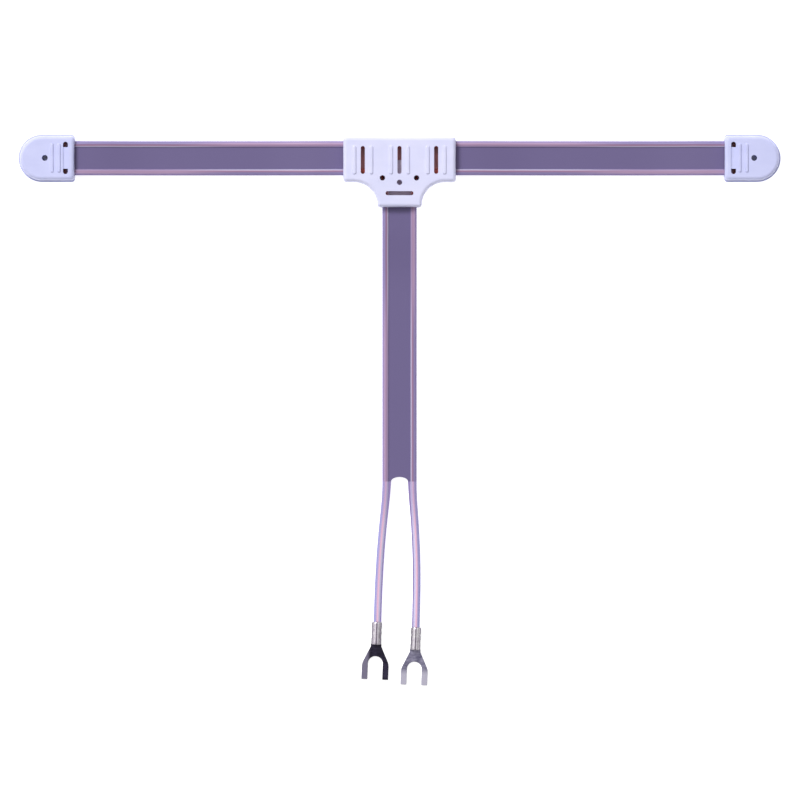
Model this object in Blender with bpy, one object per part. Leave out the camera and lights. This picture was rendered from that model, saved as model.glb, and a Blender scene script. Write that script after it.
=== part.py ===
"""Indoor T aerial made of flat two-wire ribbon, lying on its back on a surface.

A moulded T housing holds the middle of the arm ribbon and the end of the lead ribbon.
Each arm ends in a moulded cap with a tack hole. The lead splits into two legs, each
with a crimped fork lug. X runs along the arms, -Y down the lead, +Z out of the front.
The origin is on the housing's back face, under the crossing of the two ribbons.
"""
import math

import bmesh
import bpy
from mathutils import Matrix, Vector

MM = 0.001

# Clearances and walls shared by every moulding
GAP = 0.3 * MM                  # left between pieces that touch
BORE_CLEARANCE = 0.15 * MM      # around a conductor in its insulation
SIDE_WALL = 0.9 * MM
FACE_WALL = 1.2 * MM
SIDE_CLEARANCE = 0.3 * MM       # beside a ribbon in its mouth

# Two-wire ribbon
RIBBON_WIDTH = 10.0 * MM
BEAD_WIDTH = 2.05 * MM
BEAD_THICKNESS = 1.6 * MM
WEB_THICKNESS = 0.7 * MM
CONDUCTOR_DIAMETER = 0.7 * MM
FLOOR_CLEARANCE = 0.05 * MM     # under a ribbon that lies on the surface

# T housing
HOUSING_WIDTH = 32.8 * MM
HOUSING_THICKNESS = 6.0 * MM
RIM_ABOVE = 0.9 * MM            # moulding above the mouths of the arm ribbon
RIM_BELOW = 1.7 * MM            # moulding below them, at the ears
STUB_RIM = 1.25 * MM            # moulding on each side of the lead's mouth
STUB_DROP = 14.3 * MM           # arm axis to the end of the stub
COVE_RADIUS = 6.6 * MM          # hollow curve between ear and stub
HOUSING_CORNER = 0.7 * MM
EDGE_ROUND = 0.6 * MM           # rounded front edges
BACK_CHAMFER = 0.35 * MM
SLOT_LENGTH = 8.1 * MM
SLOT_WIDTH = 1.2 * MM
SLOT_SPACING = 10.65 * MM       # between neighbouring upright slots
SLOT_DROP = 0.6 * MM            # arm axis to the middle of the upright slots
CROSS_SLOT_DROP = 10.25 * MM    # arm axis to the cross slot
ROUND_HOLE_DIAMETER = 1.55 * MM
OUTER_HOLE_SPREAD = 4.95 * MM   # centre line to the two outer holes
OUTER_HOLE_DROP = 5.8 * MM
MIDDLE_HOLE_DROP = 7.1 * MM
RIB_OFFSET = 2.45 * MM          # slot centre to the grip ribs beside it
RIB_LENGTH = 8.4 * MM
RIB_WIDTH = 1.2 * MM
RIB_HEIGHT = 0.35 * MM
LATCH_NOTCH_WIDTH = 2.6 * MM
LATCH_NOTCH_DEPTH = 0.3 * MM

# Pegs that pass through the web and locate the two shells
PEG_DIAMETER = 1.2 * MM
PEG_HEADROOM = 0.15 * MM        # left between a peg and the shell's ceiling
BOSS_WALL = 0.5 * MM
EAR_PEG_INSET = 3.1 * MM        # housing end to the peg in each ear
STUB_PEG_INSET = 2.0 * MM       # stub end to the peg in the stub
CAP_PEG_INSET = 4.4 * MM        # cap mouth to the cap's peg

# End caps
CAP_LENGTH = 16.0 * MM
CAP_RIM = 1.2 * MM              # moulding on each side of the cap's mouth
CAP_THICKNESS = 5.4 * MM
CAP_CORNER = 0.9 * MM
CAP_EDGE_ROUND = 0.8 * MM
CAP_LIP = 0.4 * MM              # back shell stands out around the front shell
TACK_HOLE_DIAMETER = 1.7 * MM
TACK_HOLE_INSET = 8.6 * MM      # cap mouth to the tack hole
TACK_BOSS_WALL = 0.85 * MM
CAP_SLOT_INSET = 2.6 * MM       # cap mouth to the bridged slot
CAP_SLOT_LENGTH = 9.4 * MM
CAP_SLOT_WIDTH = 1.4 * MM
CAP_BRIDGE_LENGTH = 6.3 * MM
CAP_BRIDGE_RECESS = 0.3 * MM
CAP_RIB_INSETS = (4.45 * MM, 6.5 * MM)
BARE_WIRE = 1.0 * MM            # conductor past the end of its insulation

# Solder joints and the notch stripped for them
SOLDER_DIAMETER = 1.4 * MM
JOINT_TAIL_SIDE = 0.9 * MM      # solder joint to its twisted tail, outwards, down and up
JOINT_TAIL_DROP = 1.05 * MM
JOINT_TAIL_RISE = 0.55 * MM
JOINT_TAIL_LIFT = 1.15 * MM     # ribbon level to the tail's end, under its round hole
LEAD_TOP_GAP = 1.2 * MM         # arm ribbon to the end of the lead's insulation

# Flex lines: where a ribbon bends when it is lifted
FLEX_OUT = 1.2 * MM             # housing face to the bending line
FLEX_NEAR = 0.15 * MM           # bending line back to the held end
FLEX_FAR = 1.05 * MM            # bending line on to the moving end
LEG_FAR = 1.0 * MM

# Fork in the lead and the lugs
FORK_ARCH_HEIGHT = 1.3 * MM
ARCH_FRINGE = 0.5 * MM          # web left beside the arch
LEG_FRINGE = 0.2 * MM           # strip of web left on each leg
BARREL_DIAMETER = 2.9 * MM
CRIMP_CLEARANCE = 0.35 * MM     # around the wire in the barrel
BARREL_LENGTH = 6.5 * MM
BARREL_SEAM = 0.3 * MM
LUG_PLATE = 0.8 * MM
LUG_NECK_WIDTH = 3.1 * MM
LUG_NECK_LENGTH = 0.6 * MM
LUG_SHOULDER_LENGTH = 5.0 * MM
LUG_SLOT_WIDTH = 4.3 * MM
LUG_TINE_WIDTH = 1.75 * MM
LUG_FORK_LENGTH = 10.2 * MM     # barrel end to tips
LUG_TILT = math.radians(2.4)
WIRE_IN_BARREL = 5.0 * MM

# Routes, from where each ribbon leaves its moulding. A ribbon's pair is the run along
# it in millimetres and its height, from 0 on the surface to 1 at the mouth. A leg's
# three are its run down, its step towards +X, and its height, with 1 at the barrel.
ARM_ROUTE = [
    (0, 1), (3, 0.99), (7, 0.87), (11, 0.62), (15, 0.34), (19, 0.12), (23.5, 0.01),
    (30, 0), (39, 0), (48, 0), (54.5, 0.01), (59, 0.12), (63, 0.34), (67, 0.62),
    (71, 0.87), (75, 0.99), (78, 1),
]
LEAD_ROUTE = [
    (0, 1), (3, 0.99), (7, 0.87), (11, 0.62), (15, 0.34), (19, 0.12), (23.5, 0.01),
    (30, 0), (37, 0), (44, 0), (51, 0), (58, 0), (65, 0), (72, 0), (79.7, 0),
]
LEFT_LEG_ROUTE = [
    (0, 0, 0), (2.5, -0.06, 0), (5.5, -0.25, 0), (8.5, -0.52, 0), (11.5, -0.82, 0),
    (14.5, -1.12, 0), (17.5, -1.38, 0), (20.5, -1.62, 0), (23.5, -1.82, 0),
    (26.5, -1.99, 0.02), (29.5, -2.14, 0.12), (32.5, -2.27, 0.36), (35.5, -2.38, 0.68),
    (38, -2.46, 0.93), (40.6, -2.53, 1),
]
RIGHT_LEG_ROUTE = [
    (0, 0, 0), (2.5, 0.02, 0), (5.5, 0.15, 0), (8.5, 0.35, 0), (11.5, 0.55, 0),
    (14.5, 0.73, 0), (17.5, 0.88, 0), (20.5, 1, 0), (23.5, 1.08, 0), (26.5, 1.12, 0.01),
    (30, 1.12, 0.08), (33.5, 1.07, 0.3), (37, 0.99, 0.64), (39.8, 0.93, 0.92),
    (42.2, 0.88, 1),
]

# Sizes that follow from the ones above
RIBBON_LEVEL = FACE_WALL + GAP + BEAD_THICKNESS / 2
FLOOR_LEVEL = FLOOR_CLEARANCE + BEAD_THICKNESS / 2
BARREL_LEVEL = BARREL_DIAMETER / 2
WIRE_OFFSET = (RIBBON_WIDTH - BEAD_WIDTH) / 2
WEB_HALF = RIBBON_WIDTH / 2 - BEAD_WIDTH
BORE_RADIUS = CONDUCTOR_DIAMETER / 2 + BORE_CLEARANCE
PARTING_LEVEL = RIBBON_LEVEL
FRONT_BASE = PARTING_LEVEL + GAP / 2
BACK_TOP = PARTING_LEVEL - GAP / 2
MOUTH_HALF = RIBBON_WIDTH / 2 + SIDE_CLEARANCE
MOUTH_TOP = RIBBON_LEVEL + BEAD_THICKNESS / 2 + GAP
HOUSING_RISE = MOUTH_HALF + RIM_ABOVE
EAR_DROP = MOUTH_HALF + RIM_BELOW
STUB_HALF = MOUTH_HALF + STUB_RIM
CAP_WIDTH = 2 * (MOUTH_HALF + CAP_RIM)
WEB_TOP = RIBBON_LEVEL + WEB_THICKNESS / 2
BOSS_BASE = WEB_TOP + GAP
PEG_HOLE = PEG_DIAMETER / 2 + GAP
HOUSING_PEG_TOP = HOUSING_THICKNESS - FACE_WALL - PEG_HEADROOM
CAP_PEG_TOP = CAP_THICKNESS - FACE_WALL - PEG_HEADROOM
BOSS_DIAMETER = 2 * (PEG_HOLE + BOSS_WALL)
TACK_BOSS_DIAMETER = TACK_HOLE_DIAMETER + 2 * TACK_BOSS_WALL
RIBBON_IN_CAP = TACK_HOLE_INSET - TACK_BOSS_DIAMETER / 2 - 2 * GAP
LEAD_TOP_DROP = RIBBON_WIDTH / 2 + LEAD_TOP_GAP
BARREL_BORE = CONDUCTOR_DIAMETER + 2 * CRIMP_CLEARANCE
LUG_WIDTH = LUG_SLOT_WIDTH + 2 * LUG_TINE_WIDTH
HOUSING_HALF = HOUSING_WIDTH / 2
ARM_FLEX = HOUSING_HALF + FLEX_OUT
LEAD_FLEX = STUB_DROP + FLEX_OUT
ARM_RUN = ARM_ROUTE[-1][0] * MM
LEAD_RUN = LEAD_ROUTE[-1][0] * MM
CAP_MOUTH = HOUSING_HALF + ARM_RUN
FORK_DROP = STUB_DROP + LEAD_RUN
WIRE_END_GAP = SOLDER_DIAMETER / 2 + GAP
SOLDER_SPREAD = WIRE_OFFSET
NOTCH_HALF = SOLDER_SPREAD + WIRE_END_GAP + BARE_WIRE
EAR_PEG = HOUSING_HALF - EAR_PEG_INSET
STUB_PEG = STUB_DROP - STUB_PEG_INSET

ROUND_SIDES = 20
WIRE_SIDES = 8
RIBBON_STATIONS = 13
LEG_STATIONS = 12
BEAD_STEPS = 9
OVERRUN = 1.0 * MM              # how far a cutter passes through what it cuts


def clear_scene():
    for thing in list(bpy.data.objects):
        bpy.data.objects.remove(thing, do_unlink=True)


def make_material(name, colour, roughness, metallic=0.0):
    material = bpy.data.materials.new(name)
    material.use_nodes = True
    shader = material.node_tree.nodes["Principled BSDF"]
    shader.inputs["Base Color"].default_value = (*colour, 1.0)
    shader.inputs["Roughness"].default_value = roughness
    shader.inputs["Metallic"].default_value = metallic
    return material


FINISHES = {
    "moulding": ((0.76, 0.76, 0.95), 0.35, 0.0),
    "ribbon": ((0.20, 0.16, 0.30), 0.35, 0.0),
    "leg": ((0.45, 0.42, 0.70), 0.3, 0.0),
    "copper": ((0.72, 0.35, 0.25), 0.35, 1.0),
    "solder": ((0.55, 0.55, 0.58), 0.4, 1.0),
    "tin": ((0.62, 0.61, 0.66), 0.25, 1.0),
}


def finish_object(name, bm, finish):
    """Turns a bmesh into a named object with its own material, shaded smooth."""
    bmesh.ops.recalc_face_normals(bm, faces=bm.faces)
    mesh = bpy.data.meshes.new(name)
    bm.to_mesh(mesh)
    bm.free()
    mesh.shade_smooth()
    mesh.set_sharp_from_angle(angle=math.radians(35))
    thing = bpy.data.objects.new(name, mesh)
    bpy.context.scene.collection.objects.link(thing)
    mesh.materials.append(make_material(name, *FINISHES[finish]))
    return thing


def helper_object(name, bm):
    """A cutter or an added shape that a Boolean reads and that isn't itself built."""
    bmesh.ops.recalc_face_normals(bm, faces=bm.faces)
    mesh = bpy.data.meshes.new(name)
    bm.to_mesh(mesh)
    bm.free()
    thing = bpy.data.objects.new(name, mesh)
    bpy.context.scene.collection.objects.link(thing)
    thing.hide_render = True
    thing.display_type = "WIRE"
    return thing


def combine(thing, bm, operation, label):
    modifier = thing.modifiers.new(label, "BOOLEAN")
    modifier.operation = operation
    modifier.solver = "EXACT"
    modifier.object = helper_object(f"{thing.name}_{label}", bm)


def cut(thing, bm, label):
    combine(thing, bm, "DIFFERENCE", label)


def add(thing, bm, label):
    combine(thing, bm, "UNION", label)


def arc(centre, radius, start, end, steps):
    """Points on an arc, angles in degrees, both ends included."""
    angles = [math.radians(start + (end - start) * i / steps) for i in range(steps + 1)]
    return [(centre[0] + radius * math.cos(a), centre[1] + radius * math.sin(a)) for a in angles]


def loft(rings):
    """A closed solid through rings of points, each ring given in 3-D."""
    bm = bmesh.new()
    loops = [[bm.verts.new(p) for p in ring] for ring in rings]
    for lower, upper in zip(loops, loops[1:]):
        for i in range(len(lower)):
            j = (i + 1) % len(lower)
            bm.faces.new((lower[i], lower[j], upper[j], upper[i]))
    bm.faces.new(loops[0])
    bm.faces.new(loops[-1])
    return bm


def prism(outline, low, high):
    return loft([[(x, y, z) for x, y in outline] for z in (low, high)])


def merge(*solids):
    """Several bmeshes that don't touch, as one."""
    whole = bmesh.new()
    for bm in solids:
        mesh = bpy.data.meshes.new("merging")
        bm.to_mesh(mesh)
        bm.free()
        whole.from_mesh(mesh)
        bpy.data.meshes.remove(mesh)
    return whole


def block(low, high):
    x0, y0, z0 = low
    x1, y1, z1 = high
    return prism([(x0, y0), (x1, y0), (x1, y1), (x0, y1)], z0, z1)


def disc(x, y, radius, low, high, sides=ROUND_SIDES):
    angles = [2 * math.pi * i / sides for i in range(sides)]
    outline = [(x + radius * math.cos(a), y + radius * math.sin(a)) for a in angles]
    return prism(outline, low, high)


def stadium(x, y, length, width, upright):
    """Outline of a bar with round ends, along Y when upright, else along X."""
    radius = width / 2
    reach = length / 2 - radius
    ends = arc((reach, 0), radius, -90, 90, 6) + arc((-reach, 0), radius, 90, 270, 6)
    if upright:
        return [(x - v, y + u) for u, v in ends]
    return [(x + u, y + v) for u, v in ends]


def bar(x, y, length, width, upright, low, high):
    return prism(stadium(x, y, length, width, upright), low, high)


def crowned_bar(x, y, length, width, low, high):
    """An upright bar whose top edge is eased all round."""
    ease = width / 4
    foot = stadium(x, y, length, width, True)
    crown = stadium(x, y, length - 2 * ease, width - 2 * ease, True)
    levels = ((foot, low), (foot, high - ease), (crown, high))
    return loft([[(u, v, z) for u, v in outline] for outline, z in levels])


# ---- T housing

def housing_outline(inset, corner):
    """The T outline moved in by inset, with its outward corners rounded."""
    top = HOUSING_RISE - inset
    side = HOUSING_HALF - inset
    ear = -EAR_DROP + inset
    stub = STUB_HALF - inset
    foot = -STUB_DROP + inset
    cove = (STUB_HALF + COVE_RADIUS, -EAR_DROP - COVE_RADIUS)
    right = arc((stub - corner, foot + corner), corner, -90, 0, 3)
    right += arc(cove, COVE_RADIUS + inset, 180, 90, 9)
    right += arc((side - corner, ear + corner), corner, -90, 0, 3)
    right += arc((side - corner, top - corner), corner, 0, 90, 3)
    left = [(-x, y) for x, y in reversed(right)]
    return right + left


def rounded_front(outline, radius, low, high):
    """A solid with upright sides and a front edge rounded over radius."""
    rings = [(0.0, low), (0.0, high - radius)]
    for degrees in (30, 60, 90):
        angle = math.radians(degrees)
        rings.append((radius * (1 - math.cos(angle)), high - radius + radius * math.sin(angle)))
    return loft([[(x, y, z) for x, y in outline(inset)] for inset, z in rings])


def chamfered_back(outline, chamfer, high):
    rings = ((chamfer, 0.0), (0.0, chamfer), (0.0, high))
    return loft([[(x, y, z) for x, y in outline(inset)] for inset, z in rings])


def housing_mouths(low, high):
    """The three openings that the ribbons leave through."""
    inner = HOUSING_HALF - SIDE_WALL - OVERRUN / 4
    outer = HOUSING_HALF + OVERRUN
    stub_top = -STUB_DROP + SIDE_WALL + OVERRUN / 4
    return merge(
        block((-outer, -MOUTH_HALF, low), (-inner, MOUTH_HALF, high)),
        block((inner, -MOUTH_HALF, low), (outer, MOUTH_HALF, high)),
        block((-MOUTH_HALF, -STUB_DROP - OVERRUN, low), (MOUTH_HALF, stub_top, high)),
    )


def housing_pegs():
    return [(-EAR_PEG, 0.0), (EAR_PEG, 0.0), (0.0, -STUB_PEG)]


def housing_front_shell():
    top = HOUSING_THICKNESS
    ceiling = top - FACE_WALL
    body = rounded_front(
        lambda inset: housing_outline(inset, HOUSING_CORNER - inset * 0.5),
        EDGE_ROUND, FRONT_BASE, top)
    shell = finish_object("housing_front_shell", body, "moulding")
    hollow = housing_outline(SIDE_WALL, HOUSING_CORNER / 2)
    cut(shell, prism(hollow, FRONT_BASE - OVERRUN, ceiling), "hollow")
    cut(shell, housing_mouths(FRONT_BASE - OVERRUN, MOUTH_TOP), "mouths")
    bosses = [disc(x, y, BOSS_DIAMETER / 2, BOSS_BASE, ceiling + FACE_WALL / 2)
              for x, y in housing_pegs()]
    add(shell, merge(*bosses), "bosses")
    sockets = [disc(x, y, PEG_HOLE, BOSS_BASE - OVERRUN, HOUSING_PEG_TOP + GAP, 12)
               for x, y in housing_pegs()]
    cut(shell, merge(*sockets), "sockets")
    low, high = ceiling - OVERRUN, top + OVERRUN
    slots = [bar(i * SLOT_SPACING, -SLOT_DROP, SLOT_LENGTH, SLOT_WIDTH, True, low, high)
             for i in (-1, 0, 1)]
    slots.append(bar(0, -CROSS_SLOT_DROP, SLOT_LENGTH, SLOT_WIDTH, False, low, high))
    cut(shell, merge(*slots), "slots")
    radius = ROUND_HOLE_DIAMETER / 2
    holes = [disc(side * OUTER_HOLE_SPREAD, -OUTER_HOLE_DROP, radius, low, high, 12)
             for side in (-1, 1)]
    holes.append(disc(0, -MIDDLE_HOLE_DROP, radius, low, high, 12))
    cut(shell, merge(*holes), "holes")
    ribs = [crowned_bar(i * SLOT_SPACING + side * RIB_OFFSET, -SLOT_DROP, RIB_LENGTH, RIB_WIDTH,
                        top - FACE_WALL / 2, top + RIB_HEIGHT)
            for i in (-1, 0, 1) for side in (-1, 1)]
    add(shell, merge(*ribs), "ribs")
    half = LATCH_NOTCH_WIDTH / 2
    edge = HOUSING_RISE - LATCH_NOTCH_DEPTH
    cut(shell, block((-half, edge, FRONT_BASE - OVERRUN), (half, edge + OVERRUN, top + OVERRUN)),
        "latch_notch")
    return shell


def housing_back_shell():
    body = chamfered_back(
        lambda inset: housing_outline(inset, HOUSING_CORNER), BACK_CHAMFER, BACK_TOP)
    shell = finish_object("housing_back_shell", body, "moulding")
    hollow = housing_outline(SIDE_WALL, HOUSING_CORNER / 2)
    cut(shell, prism(hollow, FACE_WALL, BACK_TOP + OVERRUN), "hollow")
    cut(shell, housing_mouths(FACE_WALL, BACK_TOP + OVERRUN), "mouths")
    pegs = [disc(x, y, PEG_DIAMETER / 2, FACE_WALL / 2, HOUSING_PEG_TOP, 12)
            for x, y in housing_pegs()]
    add(shell, merge(*pegs), "pegs")
    return shell


# ---- end caps, drawn for the +X end from the mouth outwards and mirrored for -X

def cap_outline(side, inset, corner):
    half = CAP_WIDTH / 2
    mouth = CAP_MOUTH + max(inset, 0.0)     # the lip stops at the mouth
    centre = CAP_MOUTH + CAP_LENGTH - half
    radius = half - inset
    outline = arc((mouth + corner, -radius + corner), corner, 180, 270, 3)
    outline += arc((centre, 0), radius, -90, 90, 16)
    outline += arc((mouth + corner, radius - corner), corner, 90, 180, 3)
    return [(side * x, y) for x, y in outline]


def cap_mouth(side, low, high):
    near = CAP_MOUTH - OVERRUN
    far = CAP_MOUTH + SIDE_WALL + OVERRUN / 4
    x0, x1 = sorted((side * near, side * far))
    return block((x0, -MOUTH_HALF, low), (x1, MOUTH_HALF, high))


def cap_point(side, inset):
    return side * (CAP_MOUTH + inset)


def cap_front_shell(side, name):
    top = CAP_THICKNESS
    ceiling = top - FACE_WALL
    body = rounded_front(
        lambda inset: cap_outline(side, inset, CAP_CORNER), CAP_EDGE_ROUND, FRONT_BASE, top)
    shell = finish_object(name, body, "moulding")
    hollow = cap_outline(side, SIDE_WALL, CAP_CORNER)
    cut(shell, prism(hollow, FRONT_BASE - OVERRUN, ceiling), "hollow")
    cut(shell, cap_mouth(side, FRONT_BASE - OVERRUN, MOUTH_TOP), "mouth")
    tack = cap_point(side, TACK_HOLE_INSET)
    peg = cap_point(side, CAP_PEG_INSET)
    root = ceiling + FACE_WALL / 2
    add(shell, disc(tack, 0, TACK_BOSS_DIAMETER / 2, FRONT_BASE, root), "tack_boss")
    add(shell, disc(peg, 0, BOSS_DIAMETER / 2, BOSS_BASE, root), "peg_boss")
    cut(shell, disc(peg, 0, PEG_HOLE, BOSS_BASE - OVERRUN, CAP_PEG_TOP + GAP, 12), "socket")
    cut(shell, disc(tack, 0, TACK_HOLE_DIAMETER / 2, FRONT_BASE - OVERRUN, top + OVERRUN, 16),
        "tack_hole")
    slot = cap_point(side, CAP_SLOT_INSET)
    hole_length = (CAP_SLOT_LENGTH - CAP_BRIDGE_LENGTH) / 2
    hole_centre = CAP_BRIDGE_LENGTH / 2
    holes = []
    for end in (-1, 1):
        inner = end * hole_centre
        outer = end * (hole_centre + hole_length - CAP_SLOT_WIDTH / 2)
        turn = arc((slot, outer), CAP_SLOT_WIDTH / 2, 0, 180 * end, 6)
        turn += [(slot - CAP_SLOT_WIDTH / 2, inner), (slot + CAP_SLOT_WIDTH / 2, inner)]
        holes.append(prism(turn, ceiling - OVERRUN, top + OVERRUN))
    cut(shell, merge(*holes), "slot_ends")
    recess = bar(slot, 0, CAP_SLOT_LENGTH, CAP_SLOT_WIDTH, True,
                 top - CAP_BRIDGE_RECESS, top + OVERRUN)
    cut(shell, recess, "bridge_recess")
    ribs = [crowned_bar(cap_point(side, inset), 0, RIB_LENGTH, RIB_WIDTH * 0.75,
                        top - FACE_WALL / 2, top + RIB_HEIGHT)
            for inset in CAP_RIB_INSETS]
    add(shell, merge(*ribs), "ribs")
    return shell


def cap_back_shell(side, name):
    body = chamfered_back(
        lambda inset: cap_outline(side, inset - CAP_LIP, CAP_CORNER), BACK_CHAMFER, BACK_TOP)
    shell = finish_object(name, body, "moulding")
    hollow = cap_outline(side, SIDE_WALL, CAP_CORNER)
    cut(shell, prism(hollow, FACE_WALL, BACK_TOP + OVERRUN), "hollow")
    cut(shell, cap_mouth(side, FACE_WALL, BACK_TOP + OVERRUN), "mouth")
    tack = cap_point(side, TACK_HOLE_INSET)
    peg = cap_point(side, CAP_PEG_INSET)
    add(shell, disc(tack, 0, TACK_BOSS_DIAMETER / 2, FACE_WALL / 2, BACK_TOP), "tack_boss")
    add(shell, disc(peg, 0, PEG_DIAMETER / 2, FACE_WALL / 2, CAP_PEG_TOP, 12), "peg")
    cut(shell, disc(tack, 0, TACK_HOLE_DIAMETER / 2, -OVERRUN, BACK_TOP + OVERRUN, 16),
        "tack_hole")
    return shell


# ---- ribbons, wires and their routes

def smooth_route(points, stations):
    """Evenly spaced points on a Catmull-Rom curve through the given points."""
    spread = [points[0] * 2 - points[1]] + points + [points[-1] * 2 - points[-2]]
    fine = []
    for a, b, c, d in zip(spread, spread[1:], spread[2:], spread[3:]):
        for k in range(8):
            t = k / 8
            fine.append(0.5 * (2 * b + (c - a) * t + (2 * a - 5 * b + 4 * c - d) * t ** 2
                               + (3 * b - a - 3 * c + d) * t ** 3))
    fine.append(points[-1])
    return even_points(fine, stations)


def even_points(line, count):
    lengths = [0.0]
    for a, b in zip(line, line[1:]):
        lengths.append(lengths[-1] + (b - a).length)
    result = []
    index = 0
    for k in range(count):
        target = lengths[-1] * k / (count - 1)
        while index < len(line) - 2 and lengths[index + 1] < target:
            index += 1
        span = lengths[index + 1] - lengths[index]
        result.append(line[index].lerp(line[index + 1], (target - lengths[index]) / span))
    return result


def trimmed(line, start):
    """The line from a length past its beginning."""
    walked = 0.0
    for i, (a, b) in enumerate(zip(line, line[1:])):
        span = (b - a).length
        if walked + span > start:
            return [a.lerp(b, (start - walked) / span)] + line[i + 1:]
        walked += span
    return line


def ribbon_line(route, stations, place):
    """The centre line of a ribbon whose route is given as run and height."""
    drop = RIBBON_LEVEL - FLOOR_LEVEL
    points = [Vector(place(run * MM, FLOOR_LEVEL + drop * height)) for run, height in route]
    return smooth_route(points, stations)


def arm_line(side):
    line = ribbon_line(ARM_ROUTE, RIBBON_STATIONS,
                       lambda run, z: (side * (HOUSING_HALF + run), 0, z))
    line = trimmed(line, FLEX_OUT + FLEX_FAR)
    return line + [Vector((side * (CAP_MOUTH + RIBBON_IN_CAP), 0, RIBBON_LEVEL))]


def lead_line():
    line = ribbon_line(LEAD_ROUTE, RIBBON_STATIONS, lambda run, z: (0, -STUB_DROP - run, z))
    return trimmed(line, FLEX_OUT + FLEX_FAR)


def leg_line(side, route):
    rise = BARREL_LEVEL - FLOOR_LEVEL
    points = [Vector((side * WIRE_OFFSET + step * MM, -FORK_DROP - run * MM,
                      FLOOR_LEVEL + rise * height)) for run, step, height in route]
    return smooth_route(points, LEG_STATIONS)


def sweep(line, profile):
    """A solid whose section, given as across and up, follows a line."""
    rings = []
    for i, point in enumerate(line):
        ahead = line[min(i + 1, len(line) - 1)] - line[max(i - 1, 0)]
        along = ahead.normalized()
        across = along.cross(Vector((0, 0, 1))).normalized()
        up = across.cross(along)
        rings.append([tuple(point + across * w + up * h) for w, h in profile])
    return loft(rings)


def oval(centre, start, end, steps):
    """Part of a bead's outline, angles in degrees."""
    angles = [math.radians(start + (end - start) * i / steps) for i in range(steps + 1)]
    return [(centre + BEAD_WIDTH / 2 * math.cos(a), BEAD_THICKNESS / 2 * math.sin(a))
            for a in angles]


def web_meeting_angle():
    return math.degrees(math.asin(WEB_THICKNESS / BEAD_THICKNESS))


def ribbon_profile():
    meet = web_meeting_angle()
    right = oval(WIRE_OFFSET, -180 + meet, 180 - meet, BEAD_STEPS)
    return right + oval(-WIRE_OFFSET, meet, 360 - meet, BEAD_STEPS)


def leg_profile(side):
    """One bead with the strip of web that stays on its inner side."""
    meet = web_meeting_angle()
    points = oval(0, -180 + meet, 180 - meet, BEAD_STEPS)
    reach = -BEAD_WIDTH / 2 - LEG_FRINGE
    points += [(reach, WEB_THICKNESS / 2), (reach, -WEB_THICKNESS / 2)]
    if side > 0:
        return [(-w, h) for w, h in reversed(points)]
    return points


def round_profile(radius, offset=0.0, sides=WIRE_SIDES):
    angles = [2 * math.pi * (i + 0.5) / sides for i in range(sides)]
    return [(offset + radius * math.cos(a), radius * math.sin(a)) for a in angles]


def lengthened(line, start, end):
    """The line with its two ends carried straight on."""
    first = line[0] + (line[0] - line[1]).normalized() * start
    last = line[-1] + (line[-1] - line[-2]).normalized() * end
    return [first] + line + [last]


def carried_on(line, start, end):
    """The same line with its end points themselves moved outwards."""
    longer = lengthened(line, start, end)
    first = [longer[0]] if start else [line[0]]
    last = [longer[-1]] if end else [line[-1]]
    return first + line[1:-1] + last


def ribbon(name, line, peg_places=()):
    """Two-wire ribbon along a line, bored for its wires and holed for the pegs."""
    thing = finish_object(name, sweep(line, ribbon_profile()), "ribbon")
    bores = [sweep(lengthened(line, OVERRUN, OVERRUN), round_profile(BORE_RADIUS, offset))
             for offset in (-WIRE_OFFSET, WIRE_OFFSET)]
    holes = [disc(x, y, PEG_HOLE, 0, HOUSING_THICKNESS, 12) for x, y in peg_places]
    cut(thing, merge(*bores, *holes), "bores_and_peg_holes")
    return thing


def wire(name, line, offset=0.0):
    radius = CONDUCTOR_DIAMETER / 2
    return finish_object(name, sweep(line, round_profile(radius, offset)), "copper")


def level_line(*points):
    return [Vector((x, y, RIBBON_LEVEL)) for x, y in points]


def centre_pieces():
    """What the housing holds: the ribbons' ends, their wires and the solder joints."""
    reach = ARM_FLEX - FLEX_NEAR
    across = level_line((-reach, 0), (reach, 0))
    centre = ribbon("arm_ribbon_centre", across, housing_pegs()[:2])
    notch = block((-NOTCH_HALF, -RIBBON_WIDTH, 0), (NOTCH_HALF, -WEB_HALF, HOUSING_THICKNESS))
    cut(centre, notch, "stripped_notch")
    wire("upper_wire_centre", across, -WIRE_OFFSET)
    stop = SOLDER_SPREAD + WIRE_END_GAP
    wire("lower_wire_centre_left", level_line((-reach, -WIRE_OFFSET), (-stop, -WIRE_OFFSET)))
    wire("lower_wire_centre_right", level_line((stop, -WIRE_OFFSET), (reach, -WIRE_OFFSET)))
    foot = -LEAD_FLEX + FLEX_NEAR
    ribbon("lead_ribbon_tail", level_line((0, -LEAD_TOP_DROP), (0, foot)), housing_pegs()[2:])
    top = -WIRE_OFFSET - WIRE_END_GAP
    for side, word in ((-1, "left"), (1, "right")):
        x = side * WIRE_OFFSET
        wire(f"lead_wire_tail_{word}", level_line((x, top), (x, foot)))
        blob = bmesh.new()
        place = Matrix.Translation((side * SOLDER_SPREAD, -WIRE_OFFSET, RIBBON_LEVEL))
        bmesh.ops.create_icosphere(blob, subdivisions=2, radius=SOLDER_DIAMETER / 2, matrix=place)
        finish_object(f"solder_joint_{word}", blob, "solder")
        tail_start = Vector((side * (SOLDER_SPREAD + JOINT_TAIL_SIDE),
                             -WIRE_OFFSET - JOINT_TAIL_DROP, RIBBON_LEVEL + JOINT_TAIL_RISE))
        tail_end = Vector((side * OUTER_HOLE_SPREAD, -OUTER_HOLE_DROP - GAP,
                           RIBBON_LEVEL + JOINT_TAIL_LIFT))
        wire(f"joint_tail_{word}", [tail_start, tail_end])


def pivot(name, place):
    empty = bpy.data.objects.new(name, None)
    empty.location = place
    bpy.context.scene.collection.objects.link(empty)
    return empty


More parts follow.
